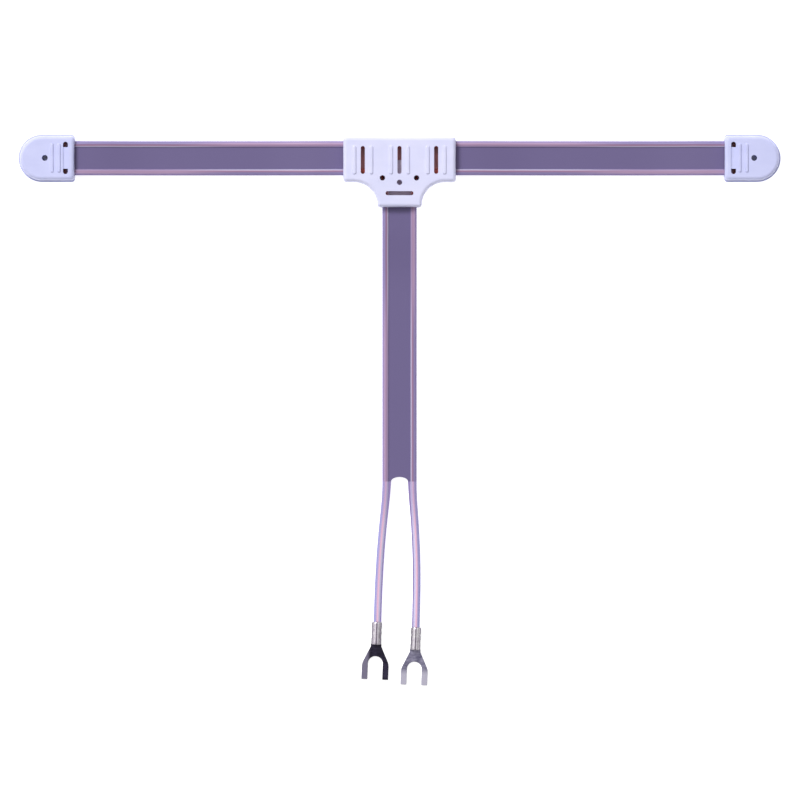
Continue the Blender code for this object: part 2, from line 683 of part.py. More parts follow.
def hang_on(empty, pieces):
    for piece in pieces:
        piece.parent = empty
        piece.matrix_parent_inverse = Matrix.Translation(empty.location).inverted()


def arm_pieces(side, word):
    line = arm_line(side)
    arm = ribbon(f"{word}_arm_ribbon", line, [(cap_point(side, CAP_PEG_INSET), 0)])
    bare = carried_on(line, 0, BARE_WIRE)
    # across points to -Y on the right arm and to +Y on the left one
    upper = wire(f"{word}_arm_upper_wire", bare, -side * WIRE_OFFSET)
    lower = wire(f"{word}_arm_lower_wire", bare, side * WIRE_OFFSET)
    link_start = CAP_MOUTH + RIBBON_IN_CAP + BARE_WIRE + GAP
    turn = arc((link_start, 0), WIRE_OFFSET, -90, 90, 12)
    link_line = [Vector((side * x, y, RIBBON_LEVEL)) for x, y in turn]
    link = wire(f"{word}_end_link", link_line)
    front = cap_front_shell(side, f"{word}_cap_front_shell")
    back = cap_back_shell(side, f"{word}_cap_back_shell")
    empty = pivot(f"{word}_arm_pivot", (side * ARM_FLEX, 0, RIBBON_LEVEL))
    hang_on(empty, [arm, upper, lower, link, front, back])


def lead_pieces():
    line = carried_on(lead_line(), 0, -FLEX_NEAR)
    lead = ribbon("lead_ribbon", line)
    angles = [2 * math.pi * i / ROUND_SIDES for i in range(ROUND_SIDES)]
    half = WEB_HALF - ARCH_FRINGE
    arch = [(half * math.cos(a), -FORK_DROP + FORK_ARCH_HEIGHT * math.sin(a)) for a in angles]
    cut(lead, prism(arch, -OVERRUN, BEAD_THICKNESS + OVERRUN), "fork_arch")
    # across points to -X down the lead
    left = wire("lead_left_wire", line, WIRE_OFFSET)
    right = wire("lead_right_wire", line, -WIRE_OFFSET)
    empty = pivot("lead_pivot", (0, -LEAD_FLEX, RIBBON_LEVEL))
    hang_on(empty, [lead, left, right])


def lug_outline():
    """The flat fork from the barrel to its tips, with run as -Y and the slot open."""
    neck = LUG_NECK_WIDTH / 2
    half = LUG_WIDTH / 2
    slot = LUG_SLOT_WIDTH / 2
    shoulder = LUG_NECK_LENGTH + LUG_SHOULDER_LENGTH
    right = [(neck * 0.6, BARREL_LENGTH / 4), (neck, -LUG_NECK_LENGTH), (half, -shoulder),
             (half, -LUG_FORK_LENGTH), (slot, -LUG_FORK_LENGTH)]
    right += arc((0, -shoulder), slot, 0, 90, 6)
    left = [(-x, y) for x, y in reversed(right[:-1])]
    return right + left


def lug(side, word, end):
    axis = [Vector((0, BARREL_LENGTH, BARREL_LEVEL)), Vector((0, 0, BARREL_LEVEL))]
    barrel = sweep(axis, round_profile(BARREL_DIAMETER / 2, sides=ROUND_SIDES))
    thing = finish_object(f"{word}_fork_lug", barrel, "tin")
    add(thing, prism(lug_outline(), 0, LUG_PLATE), "fork")
    bore_axis = lengthened(axis, OVERRUN, OVERRUN)
    cut(thing, sweep(bore_axis, round_profile(BARREL_BORE / 2)), "bore")
    half = BARREL_SEAM / 2
    seam_end = BARREL_LENGTH + OVERRUN
    seam = block((-half, -OVERRUN, BARREL_LEVEL), (half, seam_end, 2 * BARREL_DIAMETER))
    cut(thing, seam, "seam")
    place = Matrix.Translation((end.x, end.y, 0)) @ Matrix.Rotation(-LUG_TILT, 4, "Z")
    place = place @ Matrix.Translation((0, -BARREL_LENGTH - GAP, 0))
    for piece in [thing] + [m.object for m in thing.modifiers]:
        piece.data.transform(place)
    return thing


def leg_pieces(side, word, route):
    full = leg_line(side, route)
    line = trimmed(full, LEG_FAR)
    leg = finish_object(f"{word}_leg", sweep(line, leg_profile(side)), "leg")
    cut(leg, sweep(lengthened(line, OVERRUN, OVERRUN), round_profile(BORE_RADIUS)), "wire_bore")
    inside = Vector((-math.sin(LUG_TILT), -math.cos(LUG_TILT), 0))
    core = wire(f"{word}_leg_wire", line + [line[-1] + inside * (WIRE_IN_BARREL + GAP)])
    terminal = lug(side, word, line[-1])
    empty = pivot(f"{word}_leg_pivot", (side * WIRE_OFFSET, -FORK_DROP, FLOOR_LEVEL))
    hang_on(empty, [leg, core, terminal])


def build():
    clear_scene()
    housing_front_shell()
    housing_back_shell()
    centre_pieces()
    for side, word in ((-1, "left"), (1, "right")):
        arm_pieces(side, word)
    lead_pieces()
    leg_pieces(-1, "left", LEFT_LEG_ROUTE)
    leg_pieces(1, "right", RIGHT_LEG_ROUTE)


build()
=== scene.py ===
# %% [markdown]
# # An indoor T aerial of flat twin ribbon
# The object is a moulded T housing, a ribbon arm to each side that ends in a moulded
# cap, and a lead that splits into two legs with crimped fork lugs. It lies on its back.
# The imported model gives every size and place. This lesson adds the finished surfaces.

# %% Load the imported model
import math

import bmesh
import bpy
from mathutils import Matrix, Vector


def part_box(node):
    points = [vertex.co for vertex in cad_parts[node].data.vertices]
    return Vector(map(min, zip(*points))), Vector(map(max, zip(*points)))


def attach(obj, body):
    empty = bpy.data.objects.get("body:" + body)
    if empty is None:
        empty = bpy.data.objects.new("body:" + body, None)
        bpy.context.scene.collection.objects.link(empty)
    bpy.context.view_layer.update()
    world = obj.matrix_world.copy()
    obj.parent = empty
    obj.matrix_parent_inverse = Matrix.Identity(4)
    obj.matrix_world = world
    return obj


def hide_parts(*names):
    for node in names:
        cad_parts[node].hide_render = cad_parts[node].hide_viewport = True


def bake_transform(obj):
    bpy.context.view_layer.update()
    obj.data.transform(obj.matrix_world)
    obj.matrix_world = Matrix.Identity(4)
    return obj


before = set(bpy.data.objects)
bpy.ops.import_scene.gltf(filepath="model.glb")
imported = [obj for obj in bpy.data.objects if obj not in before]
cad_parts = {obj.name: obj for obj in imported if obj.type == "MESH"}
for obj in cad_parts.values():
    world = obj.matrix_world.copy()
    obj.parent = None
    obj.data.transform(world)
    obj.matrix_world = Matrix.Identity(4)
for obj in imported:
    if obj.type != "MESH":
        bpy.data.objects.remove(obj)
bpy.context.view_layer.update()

MM = 0.001

# %% [markdown]
# ## Camera
# The aerial is seen square from above. A wide lens close by would show the sides of the
# end caps, and a flat drawing view can't be moved round the object as well. A very long
# lens from far away gives an almost parallel view, so that is what is used.

# %% Camera
VIEW_WIDTH = 232.6 * MM
SENSOR = 36.0
LENS = 400.0
VIEW_CENTRE = Vector((0.15 * MM, -70.3 * MM, 2 * MM))

camera_data = bpy.data.cameras.new("long_lens")
camera_data.lens = LENS
camera_data.sensor_width = SENSOR
camera = bpy.data.objects.new("long_lens", camera_data)
bpy.context.scene.collection.objects.link(camera)
camera.location = VIEW_CENTRE + Vector((0, 0, VIEW_WIDTH * LENS / SENSOR))
camera_data.clip_start = 0.05
camera_data.clip_end = 20
bpy.context.scene.camera = camera

# %% [markdown]
# ## Sizes and places
# The ribbon's section and the small lips and ribs are written out, as they are in the
# model. Outer sizes and levels are read from the model's boxes, so that the surfaces made
# here fit what they replace. A mouth is where a ribbon leaves its moulding.

# %% Places
def node_box(name):
    low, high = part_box(name)
    return Vector(low), Vector(high)


RIB_HEIGHT = 0.35 * MM
CAP_LIP = 0.4 * MM
RIBBON_WIDTH = 10 * MM
BEAD_WIDTH = 2.05 * MM
BEAD_THICKNESS = 1.6 * MM
WEB_THICKNESS = 0.7 * MM
FLOOR_LEVEL = 0.05 * MM + BEAD_THICKNESS / 2
WIRE_RADIUS = 0.35 * MM
WIRE_OFFSET = (RIBBON_WIDTH - BEAD_WIDTH) / 2

front_low, front_high = node_box("housing_front_shell")
cap_low, cap_high = node_box("right_cap_front_shell")
wire_low, wire_high = node_box("upper_wire_centre")

HOUSING_HALF = front_high.x
HOUSING_RISE = front_high.y
STUB_DROP = -front_low.y
HOUSING_TOP = front_high.z - RIB_HEIGHT
FRONT_BASE = front_low.z
RIBBON_LEVEL = (wire_low.z + wire_high.z) / 2
BACK_TOP = 2 * RIBBON_LEVEL - FRONT_BASE
CAP_MOUTH = cap_low.x
CAP_HALF = cap_high.y
CAP_END = cap_high.x
CAP_TOP = cap_high.z - RIB_HEIGHT
print("housing half width %.2f mm, cap mouth %.2f mm" % (HOUSING_HALF / MM, CAP_MOUTH / MM))

# %% [markdown]
# ## Routes of the ribbons and legs
# A ribbon leaves its mouth straight, sinks to the surface under its own weight and lies
# flat. The points are given as run and height, the same as in the model, and a
# Catmull-Rom curve through them gives the bends without kinks.

# %% Routes
ARM_ROUTE = [
    (0, 1), (3, 0.99), (7, 0.87), (11, 0.62), (15, 0.34), (19, 0.12), (23.5, 0.01),
    (30, 0), (39, 0), (48, 0), (54.5, 0.01), (59, 0.12), (63, 0.34), (67, 0.62),
    (71, 0.87), (75, 0.99), (78, 1),
]
LEAD_ROUTE = [
    (0, 1), (3, 0.99), (7, 0.87), (11, 0.62), (15, 0.34), (19, 0.12), (23.5, 0.01),
    (30, 0), (37, 0), (44, 0), (51, 0), (58, 0), (65, 0), (72, 0), (79.7, 0),
]
LEFT_LEG_ROUTE = [
    (0, 0, 0), (2.5, -0.06, 0), (5.5, -0.25, 0), (8.5, -0.52, 0), (11.5, -0.82, 0),
    (14.5, -1.12, 0), (17.5, -1.38, 0), (20.5, -1.62, 0), (23.5, -1.82, 0),
    (26.5, -1.99, 0.02), (29.5, -2.14, 0.12), (32.5, -2.27, 0.36), (35.5, -2.38, 0.68),
    (38, -2.46, 0.93), (40.6, -2.53, 1),
]
RIGHT_LEG_ROUTE = [
    (0, 0, 0), (2.5, 0.02, 0), (5.5, 0.15, 0), (8.5, 0.35, 0), (11.5, 0.55, 0),
    (14.5, 0.73, 0), (17.5, 0.88, 0), (20.5, 1, 0), (23.5, 1.08, 0), (26.5, 1.12, 0.01),
    (30, 1.12, 0.08), (33.5, 1.07, 0.3), (37, 0.99, 0.64), (39.8, 0.93, 0.92),
    (42.2, 0.88, 1),
]
FORK_DROP = STUB_DROP + LEAD_ROUTE[-1][0] * MM
BARREL_LEVEL = 1.45 * MM
MOUTH_INSIDE = 1.3 * MM     # how far a ribbon piece starts inside its mouth
RIBBON_IN_CAP = 6.3 * MM
BARE_WIRE = 1.0 * MM


def smooth_route(points):
    """A Catmull-Rom curve through the points, eight steps to each span."""
    spread = [points[0] * 2 - points[1]] + points + [points[-1] * 2 - points[-2]]
    fine = []
    for a, b, c, d in zip(spread, spread[1:], spread[2:], spread[3:]):
        for k in range(8):
            t = k / 8
            fine.append(0.5 * (2 * b + (c - a) * t + (2 * a - 5 * b + 4 * c - d) * t ** 2
                               + (3 * b - a - 3 * c + d) * t ** 3))
    return fine + [points[-1]]


def length_of(line):
    return sum((b - a).length for a, b in zip(line, line[1:]))


def ribbon_height(share):
    return FLOOR_LEVEL + (RIBBON_LEVEL - FLOOR_LEVEL) * share


def arm_line(side):
    points = [Vector((side * (HOUSING_HALF + run * MM), 0, ribbon_height(share)))
              for run, share in ARM_ROUTE]
    start = Vector((side * (HOUSING_HALF - MOUTH_INSIDE), 0, RIBBON_LEVEL))
    end = Vector((side * (CAP_MOUTH + RIBBON_IN_CAP), 0, RIBBON_LEVEL))
    return [start] + smooth_route(points) + [end]


def lead_line():
    points = [Vector((0, -STUB_DROP - run * MM, ribbon_height(share)))
              for run, share in LEAD_ROUTE]
    return [Vector((0, -STUB_DROP + MOUTH_INSIDE, RIBBON_LEVEL))] + smooth_route(points)


def leg_line(side, route):
    rise = BARREL_LEVEL - FLOOR_LEVEL
    points = [Vector((side * WIRE_OFFSET + step * MM, -FORK_DROP - run * MM,
                      FLOOR_LEVEL + rise * share)) for run, step, share in route]
    return smooth_route(points)


print("arm %.1f mm, lead %.1f mm, legs %.1f and %.1f mm" % tuple(
    length_of(line) / MM for line in
    (arm_line(1), lead_line(), leg_line(-1, LEFT_LEG_ROUTE), leg_line(1, RIGHT_LEG_ROUTE))))

# %% [markdown]
# ## Sweeping a section along a route
# A ribbon could be a curve with a bevel, but its section isn't round, and the finish has
# to know where it is across and along the ribbon. So the section is placed at each point
# of the route in mesh code, and the UV map keeps the share across and the run along in
# centimetres. The bends then carry the pattern with them.

# %% Sweep
def round_section(radius, sides, across=0.0):
    angles = [2 * math.pi * i / sides for i in range(sides)]
    return [(across + radius * math.cos(a), radius * math.sin(a)) for a in angles]


def even_line(line, count):
    """The same line with evenly spaced points."""
    total = length_of(line)
    result, index, walked = [], 0, 0.0
    for k in range(count):
        target = total * k / (count - 1)
        span = (line[index + 1] - line[index]).length
        while index < len(line) - 2 and walked + span < target:
            walked += span
            index += 1
            span = (line[index + 1] - line[index]).length
        result.append(line[index].lerp(line[index + 1], min(1.0, (target - walked) / span)))
    return result


def sweep(line, section, uv_width, uv_centre=0.0, bores=()):
    """A closed bmesh of a section (across, up) along line, bored for wires.

    section is a list of points, or a function that gives them for a run in metres.
    """
    bm = bmesh.new()
    uv = bm.loops.layers.uv.new("along_and_across")
    where, skins, run = {}, [[] for _ in range(1 + len(bores))], 0.0
    for i, point in enumerate(line):
        ahead = (line[min(i + 1, len(line) - 1)] - line[max(i - 1, 0)]).normalized()
        across = ahead.cross(Vector((0, 0, 1))).normalized()
        up = across.cross(ahead)
        run += (point - line[i - 1]).length if i else 0.0
        outer = section(run) if callable(section) else section
        for skin, loop in zip(skins, [outer] + [round_section(r, 12, c) for c, r in bores]):
            ring = [bm.verts.new(point + across * w + up * h) for w, h in loop]
            for vert, (w, h) in zip(ring, loop):
                where[vert] = ((w - uv_centre) / uv_width + 0.5, run * 100)
            skin.append(ring)
    for skin in skins:
        for a, b in zip(skin, skin[1:]):
            for k in range(len(a)):
                n = (k + 1) % len(a)
                bm.faces.new((a[k], a[n], b[n], b[k]))
    for end in (0, -1):
        rim = [bm.edges.get((skin[end][k - 1], skin[end][k]))
               for skin in skins for k in range(len(skin[end]))]
        bmesh.ops.triangle_fill(bm, edges=rim, use_beauty=True, use_dissolve=False)
    bmesh.ops.recalc_face_normals(bm, faces=bm.faces)
    for face in bm.faces:
        for loop in face.loops:
            loop[uv].uv = where[loop.vert]
    return bm


# %% [markdown]
# ## Finishes
# Each finish is a Principled shader whose colour, roughness and bump are worked out by
# nodes. One helper makes the shader and returns what the others need, so that each
# finish below only says what is special about it.

# %% Finish helpers
def srgb(red, green, blue):
    """A colour as a screen shows it, 0 to 255, as the linear values a shader takes."""
    def linear(value):
        value /= 255
        return value / 12.92 if value < 0.04045 else ((value + 0.055) / 1.055) ** 2.4
    return (linear(red), linear(green), linear(blue), 1.0)


class Finish:
    """A material under construction."""

    def __init__(self, name, roughness=0.4, metallic=0.0):
        self.material = bpy.data.materials.new(name)
        self.material.use_nodes = True
        self.tree = self.material.node_tree
        self.shader = self.tree.nodes["Principled BSDF"]
        self.shader.inputs["Roughness"].default_value = roughness
        self.shader.inputs["Metallic"].default_value = metallic

    def node(self, kind, **values):
        made = self.tree.nodes.new(kind)
        for name, value in values.items():
            setattr(made, name, value)
        return made

    def link(self, source, target):
        self.tree.links.new(source, target)

    def place(self, uv=False, stretch=(1, 1, 1)):
        """Object coordinates, or the UV map, stretched."""
        where = self.node("ShaderNodeTexCoord")
        scaled = self.node("ShaderNodeMapping")
        scaled.inputs["Scale"].default_value = stretch
        self.link(where.outputs["UV" if uv else "Object"], scaled.inputs["Vector"])
        return scaled.outputs["Vector"]

    def noise(self, where, scale, detail=3.0):
        made = self.node("ShaderNodeTexNoise")
        made.inputs["Scale"].default_value = scale
        made.inputs["Detail"].default_value = detail
        self.link(where, made.inputs["Vector"])
        return made.outputs["Fac"]

    def ramp(self, factor, stops):
        made = self.node("ShaderNodeValToRGB")
        band = made.color_ramp
        while len(band.elements) < len(stops):
            band.elements.new(0.5)
        for element, (position, colour) in zip(band.elements, stops):
            element.position = position
            element.color = colour
        self.link(factor, made.inputs["Fac"])
        return made.outputs["Color"]

    def scale(self, factor, low, high):
        made = self.node("ShaderNodeMapRange")
        made.inputs["To Min"].default_value = low
        made.inputs["To Max"].default_value = high
        self.link(factor, made.inputs["Value"])
        return made.outputs["Result"]

    def mix(self, factor, first, second, blend="MIX"):
        made = self.node("ShaderNodeMix", data_type="RGBA", blend_type=blend)
        for socket, value in ((made.inputs[0], factor), (made.inputs[6], first),
                              (made.inputs[7], second)):
            if isinstance(value, bpy.types.NodeSocket):
                self.link(value, socket)
            else:
                socket.default_value = value
        return made.outputs[2]

    def bump(self, height, strength, distance):
        made = self.node("ShaderNodeBump")
        made.inputs["Strength"].default_value = strength
        made.inputs["Distance"].default_value = distance
        self.link(height, made.inputs["Height"])
        self.link(made.outputs["Normal"], self.shader.inputs["Normal"])

    def colour(self, source):
        self.link(source, self.shader.inputs["Base Color"])

    def roughness(self, source):
        self.link(source, self.shader.inputs["Roughness"])


# %% [markdown]
# ### Moulded plastic
# The housing and caps are satin polystyrene, a white with a lavender cast. Real mouldings
# show faint flow marks, a fine sparked texture and a gloss that varies, so a slow noise
# shifts the tone, a second one the roughness, and a very fine one lifts the surface by a
# few microns.

# %% Moulding finishes
def moulding_finish(name, bright, shade):
    finish = Finish(name, roughness=0.4)
    flow = finish.noise(finish.place(stretch=(1, 2.2, 1)), 130, 4)
    finish.colour(finish.ramp(flow, [(0.3, shade), (0.7, bright)]))
    finish.roughness(finish.scale(finish.noise(finish.place(), 420), 0.32, 0.46))
    finish.bump(finish.noise(finish.place(), 5200, 2), 0.12, 0.02 * MM)
    finish.shader.inputs["Specular IOR Level"].default_value = 0.35
    return finish.material


housing_plastic = moulding_finish("housing_plastic", srgb(227, 227, 255), srgb(220, 221, 252))
cap_plastic = moulding_finish("cap_plastic", srgb(211, 214, 252), srgb(204, 207, 247))

# %% [markdown]
# ### Ribbon insulation
# The web is smoky and dull. Each edge bead is clear enough to show its copper wire as a
# pinkish line on the inner side, and the pale line beside it is a painted highlight. A
# clear bead with the wire inside would need refraction, which is slow and doesn't export,
# so the colours are laid across the ribbon by the UV map. Noise along the run keeps the
# lines from being ruled.

# %% Ribbon finish
WEB_TONE = srgb(108, 97, 141)
COPPER_SHADE = srgb(150, 84, 66)


def wandering_across(finish, amount):
    """The share across the ribbon, shifted a little by noise along it."""
    parts = finish.node("ShaderNodeSeparateXYZ")
    finish.link(finish.place(uv=True), parts.inputs["Vector"])
    drift = finish.scale(finish.noise(finish.place(uv=True, stretch=(0.6, 0.5, 1)), 2.2, 2),
                         -amount, amount)
    total = finish.node("ShaderNodeMath", operation="ADD")
    finish.link(parts.outputs["X"], total.inputs[0])
    finish.link(drift, total.inputs[1])
    return total.outputs[0]


def share_along(finish, start, end):
    """0 before start and 1 after end, both in centimetres along the piece."""
    parts = finish.node("ShaderNodeSeparateXYZ")
    finish.link(finish.place(uv=True), parts.inputs["Vector"])
    share = finish.node("ShaderNodeMapRange", interpolation_type="SMOOTHSTEP")
    share.inputs["From Min"].default_value = start
    share.inputs["From Max"].default_value = end
    finish.link(parts.outputs["Y"], share.inputs["Value"])
    return share.outputs["Result"]


# The pale stop at 0.16 is a painted highlight beside the copper line.
BEAD_STOPS = [
    (0.02, srgb(143, 129, 180)), (0.07, srgb(149, 138, 187)), (0.1, srgb(146, 116, 150)),
    (0.13, srgb(160, 115, 146)), (0.16, srgb(208, 200, 228)), (0.185, srgb(118, 110, 152)),
    (0.2, WEB_TONE), (0.8, WEB_TONE), (0.815, srgb(118, 106, 150)),
    (0.84, srgb(170, 150, 187)), (0.87, srgb(168, 136, 170)), (0.9, srgb(176, 142, 174)),
    (0.925, srgb(188, 158, 190)), (0.955, srgb(170, 148, 194)), (0.985, srgb(141, 126, 180)),
]


def turned(stops):
    return [(1 - position, colour) for position, colour in reversed(stops)]


def ribbon_finish(name, first, second, turn, copper_from):
    """Bands across the ribbon, which change sides along a turn given in centimetres."""
    finish = Finish(name, roughness=0.34)
    across = wandering_across(finish, 0.006)
    bands = finish.mix(share_along(finish, *turn), finish.ramp(across, first),
                       finish.ramp(across, second))
    fibres = finish.noise(finish.place(uv=True, stretch=(60, 1.2, 1)), 1.6, 4)
    dulled = finish.mix(finish.scale(fibres, 0.0, 0.16), bands, srgb(80, 70, 114))
    dust = finish.noise(finish.place(uv=True, stretch=(12, 12, 1)), 4.0, 2)
    dusty = finish.mix(finish.scale(dust, 0.0, 0.05), dulled, srgb(210, 200, 232))
    finish.colour(finish.mix(share_along(finish, copper_from, copper_from + 0.1), dusty,
                             COPPER_SHADE))
    finish.roughness(finish.scale(fibres, 0.28, 0.42))
    finish.bump(fibres, 0.15, 0.03 * MM)
    finish.shader.inputs["Specular IOR Level"].default_value = 0.3
    return finish.material


ARM_TURN = (3.0, 5.4)
LEAD_TURN = (2.0, 4.2)
arm_cap_start = 7.8 + 0.13 + 0.2
left_arm_insulation = ribbon_finish("left_arm_insulation", BEAD_STOPS, turned(BEAD_STOPS),
                                    ARM_TURN, arm_cap_start)
right_arm_insulation = ribbon_finish("right_arm_insulation", turned(BEAD_STOPS), BEAD_STOPS,
                                     ARM_TURN, arm_cap_start)
lead_insulation = ribbon_finish("lead_insulation", turned(BEAD_STOPS), BEAD_STOPS,
                                LEAD_TURN, 20.0)

# %% [markdown]
# ### Held ribbon and legs
# Inside the housing the ribbon's end is seen through slots, brown in the shade with red
# copper at its edges. A leg is a clear bead: blue-lavender sides, a pink core with a
# painted highlight line beside it, and a dark strip of web. It starts duller, where the
# web has only just been cut away.

# %% Held ribbon and leg finishes
def held_finish():
    finish = Finish("held_ribbon_insulation", roughness=0.5)
    red, brown = srgb(255, 118, 100), srgb(226, 150, 152)
    bands = finish.ramp(wandering_across(finish, 0.01), [
        (0.14, red), (0.24, brown), (0.76, brown), (0.86, red)])
    mottle = finish.noise(finish.place(), 900, 3)
    finish.colour(finish.mix(finish.scale(mottle, 0.0, 0.3), bands, srgb(150, 84, 84)))
    finish.bump(mottle, 0.2, 0.03 * MM)
    return finish.material


def lead_end_finish():
    finish = Finish("held_lead_insulation", roughness=0.45)
    red, grey = srgb(240, 120, 104), srgb(232, 214, 230)
    bands = finish.ramp(wandering_across(finish, 0.01), [
        (0.12, red), (0.2, grey), (0.8, grey), (0.88, red)])
    mottle = finish.noise(finish.place(), 700, 3)
    finish.colour(finish.mix(finish.scale(mottle, 0.0, 0.3), bands, srgb(190, 170, 182)))
    finish.bump(mottle, 0.2, 0.03 * MM)
    return finish.material


def leg_finish(name, flip):
    """Bands from the outer side of a leg to its inner side, and a duller start."""
    finish = Finish(name, roughness=0.28)
    # The pale stop at 0.7 is a painted highlight beside the pink core.
    stops = [
        (0.02, srgb(150, 146, 204)), (0.2, srgb(164, 161, 216)), (0.33, srgb(190, 176, 218)),
        (0.4, srgb(232, 178, 204)), (0.52, srgb(246, 204, 224)), (0.6, srgb(226, 196, 226)),
        (0.7, srgb(216, 212, 242)), (0.84, srgb(196, 188, 230)), (0.9, srgb(138, 122, 184)),
        (0.98, srgb(120, 104, 168)),
    ]
    bands = finish.ramp(wandering_across(finish, 0.02), turned(stops) if flip else stops)
    near_fork = finish.scale(share_along(finish, 0.2, 1.8), 0.5, 0.0)
    finish.colour(finish.mix(near_fork, bands, srgb(160, 140, 188)))
    finish.roughness(finish.scale(finish.noise(finish.place(), 500), 0.2, 0.34))
    finish.bump(finish.noise(finish.place(uv=True, stretch=(4, 2, 1)), 3, 2), 0.12, 0.03 * MM)
    finish.shader.inputs["Specular IOR Level"].default_value = 0.4
    return finish.material


held_insulation = held_finish()
lead_end_insulation = lead_end_finish()
left_leg_insulation = leg_finish("left_leg_insulation", True)
right_leg_insulation = leg_finish("right_leg_insulation", False)

# %% [markdown]
# ### Metals
# The wires are wound strands of copper, and the solder on them is dull. A crimp barrel is
# bright tin plate, with painted shade that turns it dark towards its sides and in the
# groove of its seam. One fork is painted nearly black as a dark reflection, with a paler
# tine that is a painted reflection, and the other is grey with faint slanting marks from
# rolling and paler tines that are a painted reflection. The painted shade goes by the
# direction of the surface, so it keeps to the piece as it turns.

# %% Metal finishes
def copper_finish():
    finish = Finish("stranded_copper", roughness=0.35, metallic=1.0)
    strands = finish.node("ShaderNodeTexWave")
    strands.inputs["Scale"].default_value = 900
    strands.inputs["Distortion"].default_value = 0.6
    finish.link(finish.place(stretch=(1, 0.35, 1)), strands.inputs["Vector"])
    tarnish = finish.noise(finish.place(), 900, 3)
    finish.colour(finish.ramp(tarnish, [(0.3, srgb(176, 96, 74)), (0.7, srgb(226, 148, 118))]))
    finish.bump(strands.outputs["Fac"], 0.4, 0.04 * MM)
    return finish.material


def solder_finish():
    finish = Finish("dull_solder", roughness=0.42, metallic=1.0)
    grain = finish.noise(finish.place(), 2600, 4)
    finish.colour(finish.ramp(grain, [(0.3, srgb(150, 148, 156)), (0.7, srgb(205, 203, 212))]))
    finish.roughness(finish.scale(grain, 0.3, 0.55))
    finish.bump(grain, 0.35, 0.05 * MM)
    return finish.material


def facing_up(finish):
    """0 on a side wall and 1 on top, to place the painted shade on side walls."""
    normal = finish.node("ShaderNodeTexCoord")
    parts = finish.node("ShaderNodeSeparateXYZ")
    finish.link(normal.outputs["Normal"], parts.inputs["Vector"])
    share = finish.node("ShaderNodeMapRange", interpolation_type="SMOOTHSTEP")
    share.inputs["From Min"].default_value = 0.45
    share.inputs["From Max"].default_value = 0.85
    finish.link(parts.outputs["Z"], share.inputs["Value"])
    return share.outputs["Result"]


def painted_reflection_share(finish, axis, start, end):
    """0 at one place along an axis and 1 at another, in millimetres, to paint a paler reflection on
    the tines.
    """
    parts = finish.node("ShaderNodeSeparateXYZ")
    finish.link(finish.place(), parts.inputs["Vector"])
    share = finish.node("ShaderNodeMapRange", interpolation_type="SMOOTHSTEP")
    share.inputs["From Min"].default_value = start * MM
    share.inputs["From Max"].default_value = end * MM
    finish.link(parts.outputs[axis], share.inputs["Value"])
    return share.outputs["Result"]


def tin_finish(name, dark, light, edge, painted_reflection_grade=None):
    """Tin plate with faint rolling marks that run aslant, and painted shade on its side walls."""
    finish = Finish(name, roughness=0.3, metallic=0.75)
    where = finish.node("ShaderNodeTexCoord")
    slant = finish.node("ShaderNodeMapping")
    slant.inputs["Rotation"].default_value = (0, 0, math.radians(-38))
    slant.inputs["Scale"].default_value = (1, 3.2, 1)
    finish.link(where.outputs["Object"], slant.inputs["Vector"])
    streaks = finish.noise(slant.outputs["Vector"], 900, 3)
    tone = finish.mix(0.55, streaks, finish.noise(finish.place(), 520, 2))
    plate = finish.ramp(tone, [(0.36, dark), (0.66, light)])
    # painted reflection: the grade lightens the tines towards a pale tone
    if painted_reflection_grade:
        axis, start, end, pale = painted_reflection_grade
        plate = finish.mix(painted_reflection_share(finish, axis, start, end), plate, pale)
    # painted shade: side walls and the seam's groove take the dark edge colour, tops the plate
    finish.colour(finish.mix(facing_up(finish), edge, plate))
    finish.roughness(finish.scale(finish.noise(finish.place(), 1500), 0.26, 0.44))
    finish.bump(streaks, 0.12, 0.02 * MM)
    return finish.material


copper = copper_finish()
solder = solder_finish()
bright_tin = tin_finish("bright_tin", srgb(222, 212, 226), srgb(254, 250, 254),
                        srgb(60, 48, 72))
# painted reflection: this fork's near-black plate stands for a dark reflection, its paler tine for a
# lighter one
dark_reflection_tin = tin_finish("dark_reflection_tin", srgb(22, 18, 34), srgb(62, 56, 80), srgb(20, 16, 30),
                      ("X", -8.3, -9.6, srgb(132, 126, 150)))
# painted reflection: the grey fork's far tines are lighter
grey_tin = tin_finish("grey_tin", srgb(92, 88, 116), srgb(160, 156, 180), srgb(84, 78, 104),
                      ("Y", -148.0, -150.4, srgb(200, 196, 214)))
print("finishes", len(bpy.data.materials))

# %% [markdown]
# ## Turning mesh code into pieces
# One helper names a mesh, gives it a finish, shades it and hides the nodes of the model
# that it stands for. Cuts are Booleans that are applied at once, so that what is left is
# plain mesh and the cutters can go.

# %% Piece helpers
def make_piece(name, bm, material, replaces=(), sharp=40):
    mesh = bpy.data.meshes.new(name)
    bm.to_mesh(mesh)
    bm.free()
    mesh.materials.append(material)
    piece = bpy.data.objects.new(name, mesh)
    bpy.context.scene.collection.objects.link(piece)
    shade(piece, sharp)
    if replaces:
        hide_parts(*replaces)
    return piece


def shade(piece, sharp):
    piece.data.shade_smooth()
    piece.data.set_sharp_from_angle(angle=math.radians(sharp))


def settle(piece):
    """Applies the piece's modifiers."""
    graph = bpy.context.evaluated_depsgraph_get()
    made = bpy.data.meshes.new_from_object(piece.evaluated_get(graph), depsgraph=graph)
    piece.modifiers.clear()
    piece.data = made


